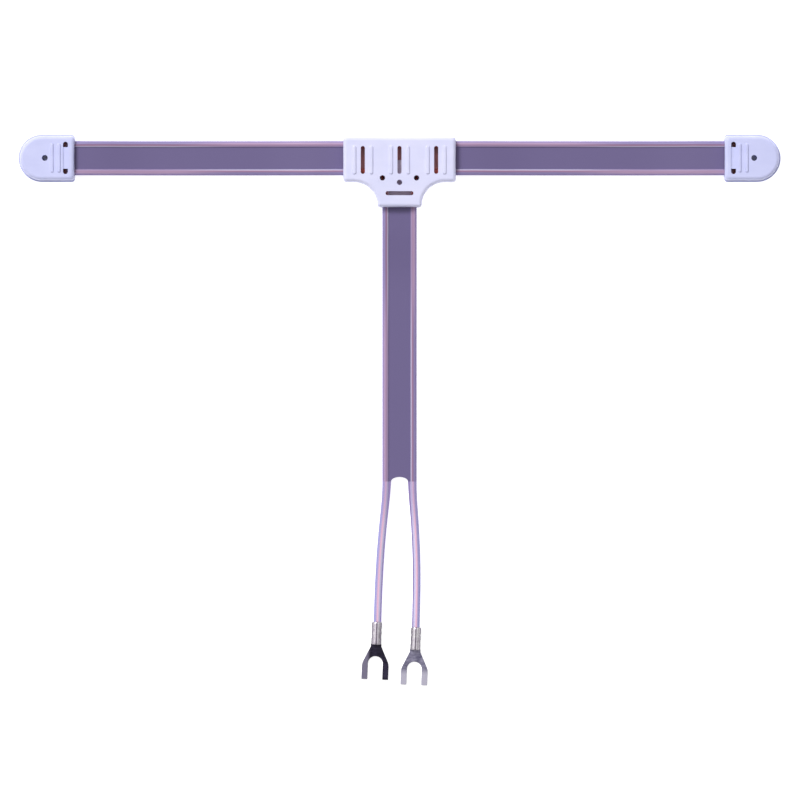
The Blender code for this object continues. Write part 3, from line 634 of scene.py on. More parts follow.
def carve(piece, operation, *shapes):
    """Cuts or joins bmesh shapes, in order, and applies the result."""
    helpers = []
    for shape in shapes:
        bmesh.ops.recalc_face_normals(shape, faces=shape.faces)
        mesh = bpy.data.meshes.new("shape")
        shape.to_mesh(mesh)
        shape.free()
        helper = bpy.data.objects.new("shape", mesh)
        bpy.context.scene.collection.objects.link(helper)
        modifier = piece.modifiers.new("carve", "BOOLEAN")
        modifier.operation = operation
        modifier.object = helper
        helpers.append(helper)
    settle(piece)
    for helper in helpers:
        bpy.data.meshes.remove(helper.data)


def soften(piece, width, sharp=40):
    """Rounds every hard edge a little and lets the large faces set the shading."""
    bevel = piece.modifiers.new("edges", "BEVEL")
    bevel.width = width
    bevel.segments = 2
    bevel.limit_method = "ANGLE"
    bevel.angle_limit = math.radians(35)
    settle(piece)
    shade(piece, sharp)
    weighted = piece.modifiers.new("flat_faces", "WEIGHTED_NORMAL")
    weighted.weight = 100
    weighted.keep_sharp = True
    settle(piece)


# %% [markdown]
# ### Outlines
# The housing and the caps are both flat outlines raised into a solid, so they share the
# same few helpers: an arc, a lofted stack of outlines, a round-ended bar and a disc. An
# outline that can be moved inwards gives both the hollow and the rounded front edge.

# %% Outline helpers
def arc(centre, radius, start, end, steps):
    angles = [math.radians(start + (end - start) * i / steps) for i in range(steps + 1)]
    return [(centre[0] + radius * math.cos(a), centre[1] + radius * math.sin(a)) for a in angles]


def loft(rings):
    """A closed bmesh through (outline, height) rings of equal count."""
    bm = bmesh.new()
    loops = [[bm.verts.new((x, y, z)) for x, y in outline] for outline, z in rings]
    for lower, upper in zip(loops, loops[1:]):
        for i in range(len(lower)):
            j = (i + 1) % len(lower)
            bm.faces.new((lower[i], lower[j], upper[j], upper[i]))
    bm.faces.new(loops[0])
    bm.faces.new(loops[-1])
    bmesh.ops.recalc_face_normals(bm, faces=bm.faces)
    return bm


def prism(outline, low, high):
    return loft([(outline, low), (outline, high)])


def block(low, high):
    (x0, y0, z0), (x1, y1, z1) = low, high
    return prism([(x0, y0), (x1, y0), (x1, y1), (x0, y1)], z0, z1)


def disc(x, y, radius, low, high, sides=32):
    return prism(arc((x, y), radius, 0, 360 * (1 - 1 / sides), sides - 1), low, high)


def bar_outline(x, y, length, width, upright=True):
    radius = width / 2
    reach = length / 2 - radius
    ends = arc((reach, 0), radius, -90, 90, 12) + arc((-reach, 0), radius, 90, 270, 12)
    return [(x - v, y + u) if upright else (x + u, y + v) for u, v in ends]


def grip_rib(x, y, length, width, low, high):
    """A rib with a rounded crown."""
    rings = [(bar_outline(x, y, length, width), low)]
    round_over = width * 0.34
    for degrees in (0, 30, 60, 88):
        angle = math.radians(degrees)
        inset = round_over * (1 - math.cos(angle))
        level = high - round_over * (1 - math.sin(angle))
        rings.append((bar_outline(x, y, length - 2 * inset, width - 2 * inset), level))
    return loft(rings)


def rounded_solid(outline, radius, low, high, draft=0.0):
    """Sides that lean in by draft, then a front edge rounded over radius."""
    rings = [(outline(0.0), low), (outline(draft), high - radius)]
    for degrees in (15, 30, 45, 60, 75, 90):
        angle = math.radians(degrees)
        inset = draft + radius * (1 - math.cos(angle))
        rings.append((outline(inset), high - radius * (1 - math.sin(angle))))
    return loft(rings)


# %% [markdown]
# ## T housing
# The housing is moulded in two shells that close over the ribbons. It could be modelled
# as a subdivided cage, but its outline is exact arcs, so it is drawn as an outline and
# raised. The front has three upright slots between grip ribs, a cross slot and three
# round holes, all open into the hollow.

# %% Moulding sizes
SIDE_WALL = 0.9 * MM
FACE_WALL = 1.2 * MM
SIDE_CLEARANCE = 0.3 * MM
RIM_BELOW = 1.7 * MM
STUB_RIM = 1.25 * MM
COVE_RADIUS = 6.6 * MM
CORNER = 0.9 * MM
HOUSING_EDGE = 1.0 * MM
DRAFT = 0.12 * MM
BACK_EDGE = 0.35 * MM
SLOT_LENGTH = 8.1 * MM
SLOT_WIDTH = 1.2 * MM
SLOT_SPACING = 10.65 * MM
SLOT_DROP = 0.6 * MM
CROSS_SLOT_DROP = 10.25 * MM
HOLE_RADIUS = 0.775 * MM
HOLES = ((-4.95 * MM, -5.8 * MM), (4.95 * MM, -5.8 * MM), (0, -7.1 * MM))
RIB_OFFSET = 2.45 * MM
RIB_LENGTH = 8.4 * MM
RIB_WIDTH = 1.2 * MM
EDGE_BREAK = 0.09 * MM
INNER_CORNER = 0.4 * MM
TIGHTEST_CORNER = 0.1 * MM
NOTCH_WIDTH = 2.6 * MM      # a shallow notch in the middle of the top edge
NOTCH_DEPTH = 0.3 * MM
REACH = 1.0 * MM            # how far a cutter passes through what it cuts
GAP = 0.3 * MM
PEG_RADIUS = 0.6 * MM
PEG_HOLE = PEG_RADIUS + GAP
BOSS_RADIUS = PEG_HOLE + 0.5 * MM
BOSS_BASE = RIBBON_LEVEL + WEB_THICKNESS / 2 + GAP
PEG_HEADROOM = 0.15 * MM
EAR_PEG = HOUSING_HALF - 3.1 * MM
STUB_PEG = STUB_DROP - 2.0 * MM
CAP_PEG = CAP_MOUTH + 4.4 * MM
HOUSING_PEGS = [(-EAR_PEG, 0), (EAR_PEG, 0), (0, -STUB_PEG)]

MOUTH_HALF = RIBBON_WIDTH / 2 + SIDE_CLEARANCE
MOUTH_TOP = RIBBON_LEVEL + BEAD_THICKNESS / 2 + 0.3 * MM
EAR_DROP = MOUTH_HALF + RIM_BELOW
STUB_HALF = MOUTH_HALF + STUB_RIM


# %% [markdown]
# ### Outline of the housing
# Two ears, a stub and the round hollow between them make the T. Only the right half is
# worked out, and the left half mirrors it. Inset moves the whole outline inwards.

# %% Housing outline
def housing_outline(inset, corner=CORNER):
    top, side = HOUSING_RISE - inset, HOUSING_HALF - inset
    ear, stub, foot = -EAR_DROP + inset, STUB_HALF - inset, -STUB_DROP + inset
    cove = (STUB_HALF + COVE_RADIUS, -EAR_DROP - COVE_RADIUS)
    right = arc((stub - corner, foot + corner), corner, -90, 0, 5)
    right += arc(cove, COVE_RADIUS + inset, 180, 90, 24)
    right += arc((side - corner, ear + corner), corner, -90, 0, 5)
    right += arc((side - corner, top - corner), corner, 0, 90, 5)
    return right + [(-x, y) for x, y in reversed(right)]


def housing_mouths(low, high):
    inner, outer = HOUSING_HALF - SIDE_WALL - REACH / 4, HOUSING_HALF + REACH
    stub_top = -STUB_DROP + SIDE_WALL + REACH / 4
    return [block((-outer, -MOUTH_HALF, low), (-inner, MOUTH_HALF, high)),
            block((inner, -MOUTH_HALF, low), (outer, MOUTH_HALF, high)),
            block((-MOUTH_HALF, -STUB_DROP - REACH, low), (MOUTH_HALF, stub_top, high))]


# %% [markdown]
# ### Front shell
# The outline is raised with a little draft and a round front edge, hollowed from behind,
# and opened where the ribbons come out. Hollow bosses take the pegs of the back shell.
# Slots, holes and ribs come last, as they would on the mould's face.

# %% Housing front
def housing_front():
    ceiling = HOUSING_TOP - FACE_WALL
    def outline(inset):
        return housing_outline(inset, max(TIGHTEST_CORNER, CORNER - inset / 2))

    body = rounded_solid(outline, HOUSING_EDGE, FRONT_BASE, HOUSING_TOP, DRAFT)
    shell = make_piece("t_housing_front", body, housing_plastic,
                       ["housing_front_shell"])
    carve(shell, "DIFFERENCE",
          prism(housing_outline(SIDE_WALL, INNER_CORNER), FRONT_BASE - REACH, ceiling),
          *housing_mouths(FRONT_BASE - REACH, MOUTH_TOP))
    carve(shell, "UNION", *[disc(x, y, BOSS_RADIUS, BOSS_BASE, ceiling + FACE_WALL / 2)
                            for x, y in HOUSING_PEGS])
    peg_room = ceiling - PEG_HEADROOM + GAP
    carve(shell, "DIFFERENCE", *[disc(x, y, PEG_HOLE, BOSS_BASE - REACH, peg_room)
                                 for x, y in HOUSING_PEGS])
    low, high = ceiling - REACH, HOUSING_TOP + REACH
    slots = [bar_outline(i * SLOT_SPACING, -SLOT_DROP, SLOT_LENGTH, SLOT_WIDTH)
             for i in (-1, 0, 1)]
    slots.append(bar_outline(0, -CROSS_SLOT_DROP, SLOT_LENGTH, SLOT_WIDTH, upright=False))
    carve(shell, "DIFFERENCE", *[prism(slot, low, high) for slot in slots],
          *[disc(x, y, HOLE_RADIUS, low, high) for x, y in HOLES])
    ribs = [grip_rib(i * SLOT_SPACING + side * RIB_OFFSET, -SLOT_DROP, RIB_LENGTH, RIB_WIDTH,
                     HOUSING_TOP - FACE_WALL / 2, HOUSING_TOP + RIB_HEIGHT)
            for i in (-1, 0, 1) for side in (-1, 1)]
    carve(shell, "UNION", *ribs)
    notch, edge = NOTCH_WIDTH / 2, HOUSING_RISE - NOTCH_DEPTH
    carve(shell, "DIFFERENCE",
          block((-notch, edge, FRONT_BASE - REACH), (notch, edge + REACH, HOUSING_TOP + REACH)))
    soften(shell, EDGE_BREAK)
    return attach(shell, "housing")


# %% [markdown]
# ### Back shell
# A shallow tray with a flat back. Its three pegs go through the web of the ribbons and
# stop them from being pulled out.

# %% Housing back
def housing_back():
    body = loft([(housing_outline(BACK_EDGE), 0.0), (housing_outline(0.0), BACK_EDGE),
                 (housing_outline(0.0), BACK_TOP)])
    shell = make_piece("t_housing_back", body, housing_plastic,
                       ["housing_back_shell"])
    carve(shell, "DIFFERENCE",
          prism(housing_outline(SIDE_WALL, INNER_CORNER), FACE_WALL, BACK_TOP + REACH),
          *housing_mouths(FACE_WALL, BACK_TOP + REACH))
    peg_top = HOUSING_TOP - FACE_WALL - PEG_HEADROOM
    carve(shell, "UNION", *[disc(x, y, PEG_RADIUS, FACE_WALL / 2, peg_top)
                            for x, y in HOUSING_PEGS])
    soften(shell, EDGE_BREAK)
    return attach(shell, "housing")


for shell in (housing_front(), housing_back()):
    print(shell.name, len(shell.data.polygons), "faces")

# %% [markdown]
# ## End caps
# A cap is a bullet shape: square at the mouth, a half circle at the outer end. The back
# shell stands out a little all round, which draws the double line round the outer end.
# A tack hole goes right through, two ribs give grip, and a narrow slot is bridged along
# its middle so that only its two ends are open.

# %% Cap sizes and outline
CAP_EDGE = 1.0 * MM
CAP_CORNER = 0.9 * MM
TACK_HOLE_INSET = 8.6 * MM
TACK_RADIUS = 0.85 * MM
TACK_BOSS_RADIUS = 1.7 * MM
CAP_SLOT_INSET = 2.6 * MM
CAP_SLOT_LENGTH = 9.4 * MM
CAP_SLOT_WIDTH = 1.4 * MM
CAP_BRIDGE_LENGTH = 6.3 * MM
CAP_BRIDGE_RECESS = 0.3 * MM
CAP_RIB_INSETS = (4.45 * MM, 6.5 * MM)


def cap_outline(side, inset, corner=CAP_CORNER):
    radius = CAP_HALF - inset
    mouth = CAP_MOUTH + max(inset, 0)       # the lip stops at the mouth
    outline = arc((mouth + corner, -radius + corner), corner, 180, 270, 5)
    outline += arc((CAP_END - CAP_HALF, 0), radius, -90, 90, 48)
    outline += arc((mouth + corner, radius - corner), corner, 90, 180, 5)
    return [(side * x, y) for x, y in outline]


def cap_mouth(side, low, high):
    x0, x1 = sorted((side * (CAP_MOUTH - REACH), side * (CAP_MOUTH + SIDE_WALL + REACH / 4)))
    return block((x0, -MOUTH_HALF, low), (x1, MOUTH_HALF, high))


def slot_end(x, end, low, high):
    """One open end of the bridged slot: round outside, straight at the bridge."""
    half = CAP_SLOT_WIDTH / 2
    outline = arc((x, end * (CAP_SLOT_LENGTH / 2 - half)), half, 0, 180 * end, 12)
    inner = end * CAP_BRIDGE_LENGTH / 2
    return prism(outline + [(x - half, inner), (x + half, inner)], low, high)


# %% [markdown]
# ### The cap's two shells
# They are made as the housing's shells are, once for each side. The tack hole has a wall
# of its own inside, so that a tack can't touch the wires.

# %% Cap shells
def cap_front(side, word):
    ceiling = CAP_TOP - FACE_WALL
    body = rounded_solid(lambda inset: cap_outline(side, inset), CAP_EDGE,
                         FRONT_BASE, CAP_TOP, DRAFT)
    shell = make_piece(f"{word}_cap_front", body, cap_plastic,
                       [f"{word}_cap_front_shell"])
    carve(shell, "DIFFERENCE",
          prism(cap_outline(side, SIDE_WALL), FRONT_BASE - REACH, ceiling),
          cap_mouth(side, FRONT_BASE - REACH, MOUTH_TOP))
    tack = side * (CAP_MOUTH + TACK_HOLE_INSET)
    slot = side * (CAP_MOUTH + CAP_SLOT_INSET)
    carve(shell, "UNION", disc(tack, 0, TACK_BOSS_RADIUS, FRONT_BASE, ceiling + FACE_WALL / 2),
          disc(side * CAP_PEG, 0, BOSS_RADIUS, BOSS_BASE, ceiling + FACE_WALL / 2))
    high = CAP_TOP + REACH
    peg_room = ceiling - PEG_HEADROOM + GAP
    carve(shell, "DIFFERENCE", disc(tack, 0, TACK_RADIUS, FRONT_BASE - REACH, high),
          disc(side * CAP_PEG, 0, PEG_HOLE, BOSS_BASE - REACH, peg_room),
          slot_end(slot, 1, ceiling - REACH, high), slot_end(slot, -1, ceiling - REACH, high),
          prism(bar_outline(slot, 0, CAP_SLOT_LENGTH, CAP_SLOT_WIDTH),
                CAP_TOP - CAP_BRIDGE_RECESS, high))
    carve(shell, "UNION",
          *[grip_rib(side * (CAP_MOUTH + inset), 0, RIB_LENGTH, RIB_WIDTH * 0.75,
                     CAP_TOP - FACE_WALL / 2, CAP_TOP + RIB_HEIGHT) for inset in CAP_RIB_INSETS])
    soften(shell, EDGE_BREAK)
    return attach(shell, f"{word}_arm")


def cap_back(side, word):
    body = loft([(cap_outline(side, BACK_EDGE - CAP_LIP), 0.0),
                 (cap_outline(side, -CAP_LIP), BACK_EDGE), (cap_outline(side, -CAP_LIP), BACK_TOP)])
    shell = make_piece(f"{word}_cap_back", body, cap_plastic,
                       [f"{word}_cap_back_shell"])
    tack = side * (CAP_MOUTH + TACK_HOLE_INSET)
    carve(shell, "DIFFERENCE", prism(cap_outline(side, SIDE_WALL), FACE_WALL, BACK_TOP + REACH),
          cap_mouth(side, FACE_WALL, BACK_TOP + REACH))
    peg_top = CAP_TOP - FACE_WALL - PEG_HEADROOM
    carve(shell, "UNION", disc(tack, 0, TACK_BOSS_RADIUS, FACE_WALL / 2, BACK_TOP),
          disc(side * CAP_PEG, 0, PEG_RADIUS, FACE_WALL / 2, peg_top))
    carve(shell, "DIFFERENCE", disc(tack, 0, TACK_RADIUS, -REACH, BACK_TOP + REACH))
    soften(shell, EDGE_BREAK)
    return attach(shell, f"{word}_arm")


SIDES = ((-1, "left"), (1, "right"))
for side, word in SIDES:
    print(word, [len(shell.data.polygons) for shell in (cap_front(side, word), cap_back(side, word))])

# %% [markdown]
# ## Ribbons
# The ribbon is one extrusion: a thin web between two oval beads. The section is swept
# with many stations, so that a coarse mesh doesn't show corners in the bends. Each wire is
# its own piece inside its bead.

# %% Ribbon section
def bead(centre, start, end, steps=18):
    angles = [math.radians(start + (end - start) * i / steps) for i in range(steps + 1)]
    return [(centre + BEAD_WIDTH / 2 * math.cos(a), BEAD_THICKNESS / 2 * math.sin(a))
            for a in angles]


def web_points(start, end, level, steps=6):
    return [(start + (end - start) * i / steps, level) for i in range(1, steps)]


MEET = math.degrees(math.asin(WEB_THICKNESS / BEAD_THICKNESS))
WEB_EDGE = WIRE_OFFSET - BEAD_WIDTH / 2 * math.cos(math.radians(MEET))
RIBBON_SECTION = (
    bead(WIRE_OFFSET, -180 + MEET, 180 - MEET)
    + web_points(WEB_EDGE, -WEB_EDGE, WEB_THICKNESS / 2)
    + bead(-WIRE_OFFSET, MEET, 360 - MEET)
    + web_points(-WEB_EDGE, WEB_EDGE, -WEB_THICKNESS / 2))
print("points in the section", len(RIBBON_SECTION))

# %% [markdown]
# ### Arms
# An arm is the ribbon between the T housing and a cap. On the real object it runs through
# the housing's mouth without a break and bends there when the arm is lifted. So one piece
# reaches from inside one moulding to inside the other. Its two copper wires are swept
# along the same line, one in each bead, and reach bare into the cap.

# %% Arms
STATIONS = 150
BORE_RADIUS = 0.5 * MM
RIBBON_BORES = [(-WIRE_OFFSET, BORE_RADIUS), (WIRE_OFFSET, BORE_RADIUS)]
HELD_WIRE_END = node_box("upper_wire_centre")[1].x - HOUSING_HALF
WIRE_GAP = 0.05 * MM


def blended(piece, start):
    start = Vector(start)
    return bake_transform(piece)


def from_run(line, start):
    """The line from a length past its beginning."""
    walked = 0.0
    for i, (a, b) in enumerate(zip(line, line[1:])):
        span = (b - a).length
        if walked + span > start:
            return [a.lerp(b, (start - walked) / span)] + line[i + 1:]
        walked += span


def strands(name, line, offset, bare=0.0, start=0.0):
    """A wire in its bead, from a run past the line's start to bare past its end."""
    inside = from_run(line, start)
    if bare:
        inside = inside + [inside[-1] + (inside[-1] - inside[-2]).normalized() * bare]
    bm = sweep(inside, round_section(WIRE_RADIUS, 10, offset), 2 * WIRE_RADIUS, offset)
    return make_piece(name, bm, copper)


wire_start = MOUTH_INSIDE + HELD_WIRE_END + WIRE_GAP
for side, word in SIDES:
    line = even_line(arm_line(side), STATIONS)
    finish = left_arm_insulation if side < 0 else right_arm_insulation
    arm = make_piece(f"{word}_arm_flat_ribbon",
                     sweep(line, RIBBON_SECTION, RIBBON_WIDTH, bores=RIBBON_BORES),
                     finish, [f"{word}_arm_ribbon"])
    carve(arm, "DIFFERENCE", disc(side * CAP_PEG, 0, PEG_HOLE, 0, HOUSING_TOP))
    shade(arm, 40)
    # across points to -Y on the right arm and to +Y on the left one
    wires = []
    for place, offset in (("upper", -side * WIRE_OFFSET), ("lower", side * WIRE_OFFSET)):
        wires.append(strands(f"{word}_arm_{place}_strands", line, offset, BARE_WIRE, wire_start))
        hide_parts(f"{word}_arm_{place}_wire")
    exit_point = (side * HOUSING_HALF, 0, RIBBON_LEVEL)
    for piece in (arm, *wires):
        blended(piece, exit_point)
    round(length_of(line), 4)
    print(word, "arm", round(length_of(line) / MM, 1), "mm")

# %% [markdown]
# ## Lead
# The lead is the same ribbon. At its lower end the web is punched out in a round arch,
# which lets the two beads part into legs. The arch is cut after the sweep.

# %% Lead
FORK_ARCH_HEIGHT = 1.3 * MM
ARCH_FRINGE = 0.5 * MM
lead_path = even_line(lead_line(), STATIONS)
lead = make_piece("lead_flat_ribbon",
                  sweep(lead_path, RIBBON_SECTION, RIBBON_WIDTH, bores=RIBBON_BORES),
                  lead_insulation, ["lead_ribbon"])
arch_half = RIBBON_WIDTH / 2 - BEAD_WIDTH - ARCH_FRINGE
arch = [(x * arch_half, -FORK_DROP + y * FORK_ARCH_HEIGHT) for x, y in arc((0, 0), 1, 0, 354, 59)]
ARCH_CUT_TOP = 2 * BEAD_THICKNESS
carve(lead, "DIFFERENCE", prism(arch, -REACH, ARCH_CUT_TOP))
shade(lead, 40)
lead_wires = []
# across points to -X down the lead
for word, offset in (("left", WIRE_OFFSET), ("right", -WIRE_OFFSET)):
    lead_wires.append(strands(f"lead_{word}_strands", lead_path, offset, start=wire_start))
    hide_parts(f"lead_{word}_wire")
lead_exit = (0, -STUB_DROP, RIBBON_LEVEL)
for piece in (lead, *lead_wires):
    blended(piece, lead_exit)
print("lead", round(length_of(lead_path) / MM, 1), "mm")

# %% [markdown]
# ## Legs
# Each leg is one bead with the strip of web that stayed on its inner side. It starts
# where the lead's bead ends, wanders outwards and rises a little to its crimp barrel.

# %% Legs
LEG_FRINGE = 0.2 * MM
FRINGE_RUN = 14 * MM        # the fringe narrows over this much of a leg
LEG_WIDTH = BEAD_WIDTH + LEG_FRINGE
LEG_STATIONS = 90
WIRE_IN_BARREL = 5.0 * MM
LEG_REACH = 0.24 * MM       # the insulation almost touches the barrel


def leg_section(side):
    """One bead with the fringe on its inner side, as a function of the run."""
    def section(run):
        share = max(0.0, 1 - run / FRINGE_RUN)
        reach = -BEAD_WIDTH / 2 - LEG_FRINGE - (ARCH_FRINGE - LEG_FRINGE) * share ** 2
        points = bead(0, -180 + MEET, 180 - MEET)
        points += [(reach, WEB_THICKNESS / 2), (reach, -WEB_THICKNESS / 2)]
        return [(-w, h) for w, h in reversed(points)] if side > 0 else points
    return section


leg_paths = {}
legs = {}
for side, word, route, finish in ((-1, "left", LEFT_LEG_ROUTE, left_leg_insulation),
                                  (1, "right", RIGHT_LEG_ROUTE, right_leg_insulation)):
    line = even_line(leg_line(side, route), LEG_STATIONS)
    leg_paths[word] = line
    # across points to -X down a leg, so the fringe is at -across on the left leg
    closer = (line[-1] - line[-2]).normalized() * LEG_REACH
    body = sweep(line[:-1] + [line[-1] + closer], leg_section(side), LEG_WIDTH,
                 side * LEG_FRINGE / 2, [(0.0, BORE_RADIUS)])
    leg = make_piece(f"{word}_leg_bead", body, finish, [f"{word}_leg"])
    core = strands(f"{word}_leg_strands", line, 0.0, WIRE_IN_BARREL)
    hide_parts(f"{word}_leg_wire")
    start = (side * WIRE_OFFSET, -FORK_DROP, FLOOR_LEVEL)
    for piece in (leg, core):
        blended(piece, start)
    legs[word] = (leg, core, start, line)
    print(word, "leg", round(length_of(line) / MM, 1), "mm")

# %% [markdown]
# ## Fork lugs
# A lug is stamped from tinned sheet. The barrel is rolled up and butted along a seam,
# then crimped on the wire, which leaves shallow dents. A groove that fades into the round
# gives the seam, and two soft waists give the crimps. The fork is a flat outline with
# flared shoulders and an open slot for a terminal screw.

# %% Crimp barrel
BARREL_LENGTH = 6.5 * MM
SEAM_DEPTH, SEAM_SPREAD = 0.32 * MM, 0.11            # depth, and spread in radians
CRIMP_DEPTH, CRIMP_SPREAD = 0.1 * MM, 0.07           # spreads below are shares of length
CRIMP_PLACES = (0.36, 0.66)
END_ROUND, END_SPREAD = 0.12 * MM, 0.03
LUG_TILT = math.radians(2.4)
BARREL_BORE = 0.7 * MM
LUG_PLATE = 0.8 * MM
LUG_NECK = 1.55 * MM
NECK_LENGTH = 0.6 * MM
SHOULDER_LENGTH = 5.0 * MM
LUG_HALF = 3.9 * MM
LUG_SLOT_HALF = 2.15 * MM
FORK_LENGTH = 10.2 * MM
LUG_GAP = 0.3 * MM


def barrel_radius(angle, share):
    """Outer radius round the barrel (0 to 2 pi) and along it (0 to 1)."""
    def bump(distance, spread):
        return math.exp(-(distance / spread) ** 2)

    seam = SEAM_DEPTH * bump(angle - math.pi / 2, SEAM_SPREAD)
    crimps = sum(bump(share - place, CRIMP_SPREAD) for place in CRIMP_PLACES)
    dent = CRIMP_DEPTH * crimps * (0.5 + 0.5 * math.cos(2 * angle - 0.6))
    ends = END_ROUND * (bump(share, END_SPREAD) + bump(1 - share, END_SPREAD))
    return BARREL_LEVEL - seam - dent - ends


def barrel_mesh(around=72, along=48):
    """An outer and an inner skin, joined at both ends."""
    bm = bmesh.new()
    shells = []
    for inner in (False, True):
        rings = []
        for i in range(along + 1):
            share = i / along
            ring = []
            for k in range(around):
                angle = 2 * math.pi * k / around
                radius = BARREL_BORE if inner else barrel_radius(angle, share)
                ring.append(bm.verts.new((radius * math.cos(angle), share * BARREL_LENGTH,
                                          BARREL_LEVEL + radius * math.sin(angle))))
            rings.append(ring)
        shells.append(rings)
    outer, inner = shells
    for rings in shells:
        for a, b in zip(rings, rings[1:]):
            for k in range(around):
                n = (k + 1) % around
                bm.faces.new((a[k], a[n], b[n], b[k]))
    for a, b in ((outer[0], inner[0]), (outer[-1], inner[-1])):
        for k in range(around):
            n = (k + 1) % around
            bm.faces.new((a[k], a[n], b[n], b[k]))
    bmesh.ops.recalc_face_normals(bm, faces=bm.faces)
    return bm


# %% [markdown]
# ### Fork plate
# The fork is cut from flat sheet. Its outline is drawn for one half and mirrored: neck,
# flared shoulder, tine and the round end of the slot.

# %% Fork plate
def fork_outline():
    shoulder = NECK_LENGTH + SHOULDER_LENGTH
    right = [(LUG_NECK * 0.6, BARREL_LENGTH / 4), (LUG_NECK, 0), (LUG_NECK, -NECK_LENGTH)]
    right += [(LUG_HALF - 0.35 * MM, -shoulder + 0.75 * MM), (LUG_HALF - 0.08 * MM, -shoulder),
              (LUG_HALF, -shoulder - 0.8 * MM), (LUG_HALF, -FORK_LENGTH),
              (LUG_SLOT_HALF, -FORK_LENGTH)]
    right += arc((0, -shoulder), LUG_SLOT_HALF, 0, 90, 16)
    return right + [(-x, y) for x, y in reversed(right[:-1])]


def lug_place(word):
    end = leg_paths[word][-1]
    place = Matrix.Translation((end.x, end.y, 0)) @ Matrix.Rotation(-LUG_TILT, 4, "Z")
    return place @ Matrix.Translation((0, -BARREL_LENGTH - LUG_GAP, 0))


for word, fork_tin in (("left", dark_reflection_tin), ("right", grey_tin)):
    barrel = make_piece(f"{word}_crimp_barrel", barrel_mesh(), bright_tin)
    fork = make_piece(f"{word}_fork_plate", prism(fork_outline(), 0, LUG_PLATE), fork_tin,
                      [f"{word}_fork_lug"])
    soften(fork, 0.12 * MM)
    for piece in (barrel, fork):
        piece.data.transform(lug_place(word))
        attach(piece, f"{word}_leg")
    leg, core, start, line = legs[word]
    round(length_of(line), 4)
round(length_of(lead_path), 4)

# %% [markdown]
# ## What the housing holds
# Through the slots one sees the arm ribbon's middle, its copper at the two edges, and the
# lead's web where it lies over the arm ribbon. The lower bead is stripped at the centre
# for the two solder joints.

# %% Held ribbons
HELD_GAP = 0.1 * MM
NOTCH_HALF = 6.0 * MM
LEAD_TOP = -6.2 * MM
TONGUE_HALF = 2.6 * MM
TONGUE_HEIGHT = 0.45 * MM
TONGUE_RISE = 0.85 * MM     # the web's end climbs over the arm ribbon
TAIL_MIDDLE = -9 * MM
held_half = HOUSING_HALF - MOUTH_INSIDE - HELD_GAP
held_line = [Vector((x * held_half, 0, RIBBON_LEVEL)) for x in (-1, -0.5, 0, 0.5, 1)]
held = make_piece("arm_ribbon_middle",
                  sweep(held_line, RIBBON_SECTION, RIBBON_WIDTH, bores=RIBBON_BORES),
                  held_insulation, ["arm_ribbon_centre"])
notch = block((-NOTCH_HALF, -RIBBON_WIDTH, 0), (NOTCH_HALF, -WEB_EDGE, HOUSING_TOP))
carve(held, "DIFFERENCE", notch, *[disc(x, y, PEG_HOLE, 0, HOUSING_TOP)
                                   for x, y in HOUSING_PEGS[:2]])
shade(held, 40)
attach(held, "housing")

tail_line = [Vector((0, y, RIBBON_LEVEL))
             for y in (LEAD_TOP, TAIL_MIDDLE, -STUB_DROP + MOUTH_INSIDE + HELD_GAP)]
tail = make_piece("lead_ribbon_end",
                  sweep(tail_line, RIBBON_SECTION, RIBBON_WIDTH, bores=RIBBON_BORES),
                  lead_end_insulation, ["lead_ribbon_tail"])
tongue_line = smooth_route([Vector((0, y * MM, RIBBON_LEVEL + TONGUE_RISE * share))
                            for y, share in ((-0.55, 1), (-2.5, 1), (-4.2, 0.96), (-5.2, 0.6),
                                             (-6, 0.15), (-6.7, 0), (-7.4, 0))])
corner = (TONGUE_HALF, TONGUE_HEIGHT / 2)
tongue = sweep(tongue_line, [(-corner[0], -corner[1]), (corner[0], -corner[1]),
                             (corner[0], corner[1]), (-corner[0], corner[1])], RIBBON_WIDTH)
carve(tail, "UNION", tongue)
carve(tail, "DIFFERENCE", disc(*HOUSING_PEGS[2], PEG_HOLE, 0, HOUSING_TOP))
shade(tail, 40)
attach(tail, "housing")

# %% [markdown]
# ## Carried-over metal
# The wires, the links in the caps and the solder joints have the right shape in the
# model already, so they stay and only take their finishes.

# %% Carried-over nodes
for name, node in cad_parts.items():
    if node.hide_render:
        continue
    node.data.materials.clear()
    node.data.materials.append(solder if name.startswith("solder") else copper)
    print("kept", name)

# %% [markdown]
# ## Floor
# A plain pale floor that glows a little, as a lit tabletop does, so that no shadow is
# left round the object. The glow fades in deep holes, where a real one would be dark.

# %% Floor
FLOOR_HALF = 4
GLOW = 0.72
GLOW_REACH = 8 * MM
floor_mesh = bpy.data.meshes.new("floor")
corners = [(x * FLOOR_HALF, y * FLOOR_HALF, 0) for x, y in ((-1, -1), (1, -1), (1, 1), (-1, 1))]
floor_mesh.from_pydata(corners, [], [(0, 1, 2, 3)])
floor = bpy.data.objects.new("floor", floor_mesh)
bpy.context.scene.collection.objects.link(floor)
floor_finish = Finish("pale_floor", roughness=0.9)
floor_finish.shader.inputs["Base Color"].default_value = (0.93, 0.93, 0.93, 1)
floor_finish.shader.inputs["Specular IOR Level"].default_value = 0.0
floor_finish.shader.inputs["Emission Color"].default_value = (1, 1, 1, 1)
openness = floor_finish.node("ShaderNodeAmbientOcclusion", samples=16)
openness.inputs["Distance"].default_value = GLOW_REACH
glow = floor_finish.node("ShaderNodeMapRange")
for socket, value in (("From Min", 0.1), ("From Max", 0.3), ("To Max", GLOW)):
    glow.inputs[socket].default_value = value
floor_finish.link(openness.outputs["AO"], glow.inputs["Value"])
floor_finish.link(glow.outputs["Result"], floor_finish.shader.inputs["Emission Strength"])
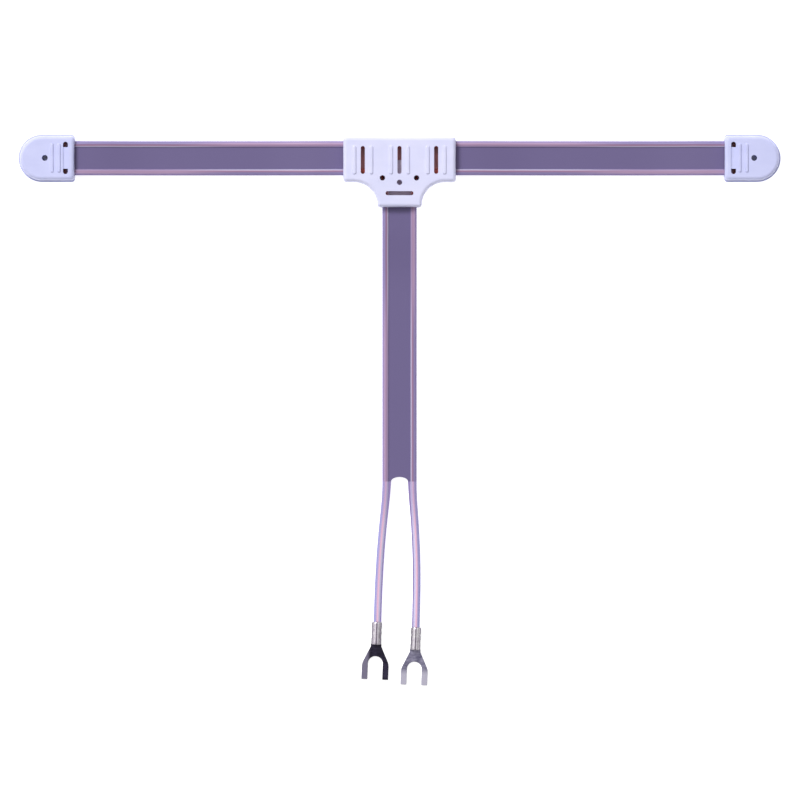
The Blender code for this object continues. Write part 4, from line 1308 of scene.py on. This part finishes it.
floor_mesh.materials.append(floor_finish.material)

# %% [markdown]
# ## Light
# A soft sky that is brighter above, ahead and to the left, and one large softbox on the
# same side. Faces that look up keep an even tone, ribs get a bright left flank, and the
# rounded edges towards the lead turn slightly darker.

# %% Light
SKY_LOW, SKY_HIGH = 0.12, 0.72
SKY_LEAN = (-0.42, 0.6, 0)
SOFTBOX_PLACE = (-1.1, 1.5, 2.35)
SOFTBOX_SIZE = 1.0
SOFTBOX_POWER = 56
world = bpy.data.worlds.new("soft_sky")
world.use_nodes = True
sky = world.node_tree
direction = sky.nodes.new("ShaderNodeTexCoord")
upward = sky.nodes.new("ShaderNodeSeparateXYZ")
strength = sky.nodes.new("ShaderNodeMapRange")
strength.inputs["To Min"].default_value = SKY_LOW
strength.inputs["To Max"].default_value = SKY_HIGH
slope = sky.nodes.new("ShaderNodeVectorMath")
slope.operation = "DOT_PRODUCT"
slope.inputs[1].default_value = SKY_LEAN
lean = sky.nodes.new("ShaderNodeMath")
lean.operation = "MULTIPLY_ADD"
sky.links.new(direction.outputs["Generated"], upward.inputs["Vector"])
sky.links.new(direction.outputs["Generated"], slope.inputs[0])
sky.links.new(upward.outputs["Z"], strength.inputs["Value"])
sky.links.new(slope.outputs["Value"], lean.inputs[0])
sky.links.new(strength.outputs["Result"], lean.inputs[1])
sky.links.new(strength.outputs["Result"], lean.inputs[2])
sky.links.new(lean.outputs["Value"], sky.nodes["Background"].inputs["Strength"])
sky.nodes["Background"].inputs["Color"].default_value = (1, 1, 1, 1)
bpy.context.scene.world = world

softbox_data = bpy.data.lights.new("far_softbox", "AREA")
softbox_data.size = SOFTBOX_SIZE
softbox_data.energy = SOFTBOX_POWER
softbox = bpy.data.objects.new("far_softbox", softbox_data)
bpy.context.scene.collection.objects.link(softbox)
softbox.location = SOFTBOX_PLACE
aim = Vector((0, -0.07, 0)) - softbox.location
softbox.rotation_euler = aim.to_track_quat("-Z", "Y").to_euler()
bpy.context.scene.view_settings.view_transform = "Standard"
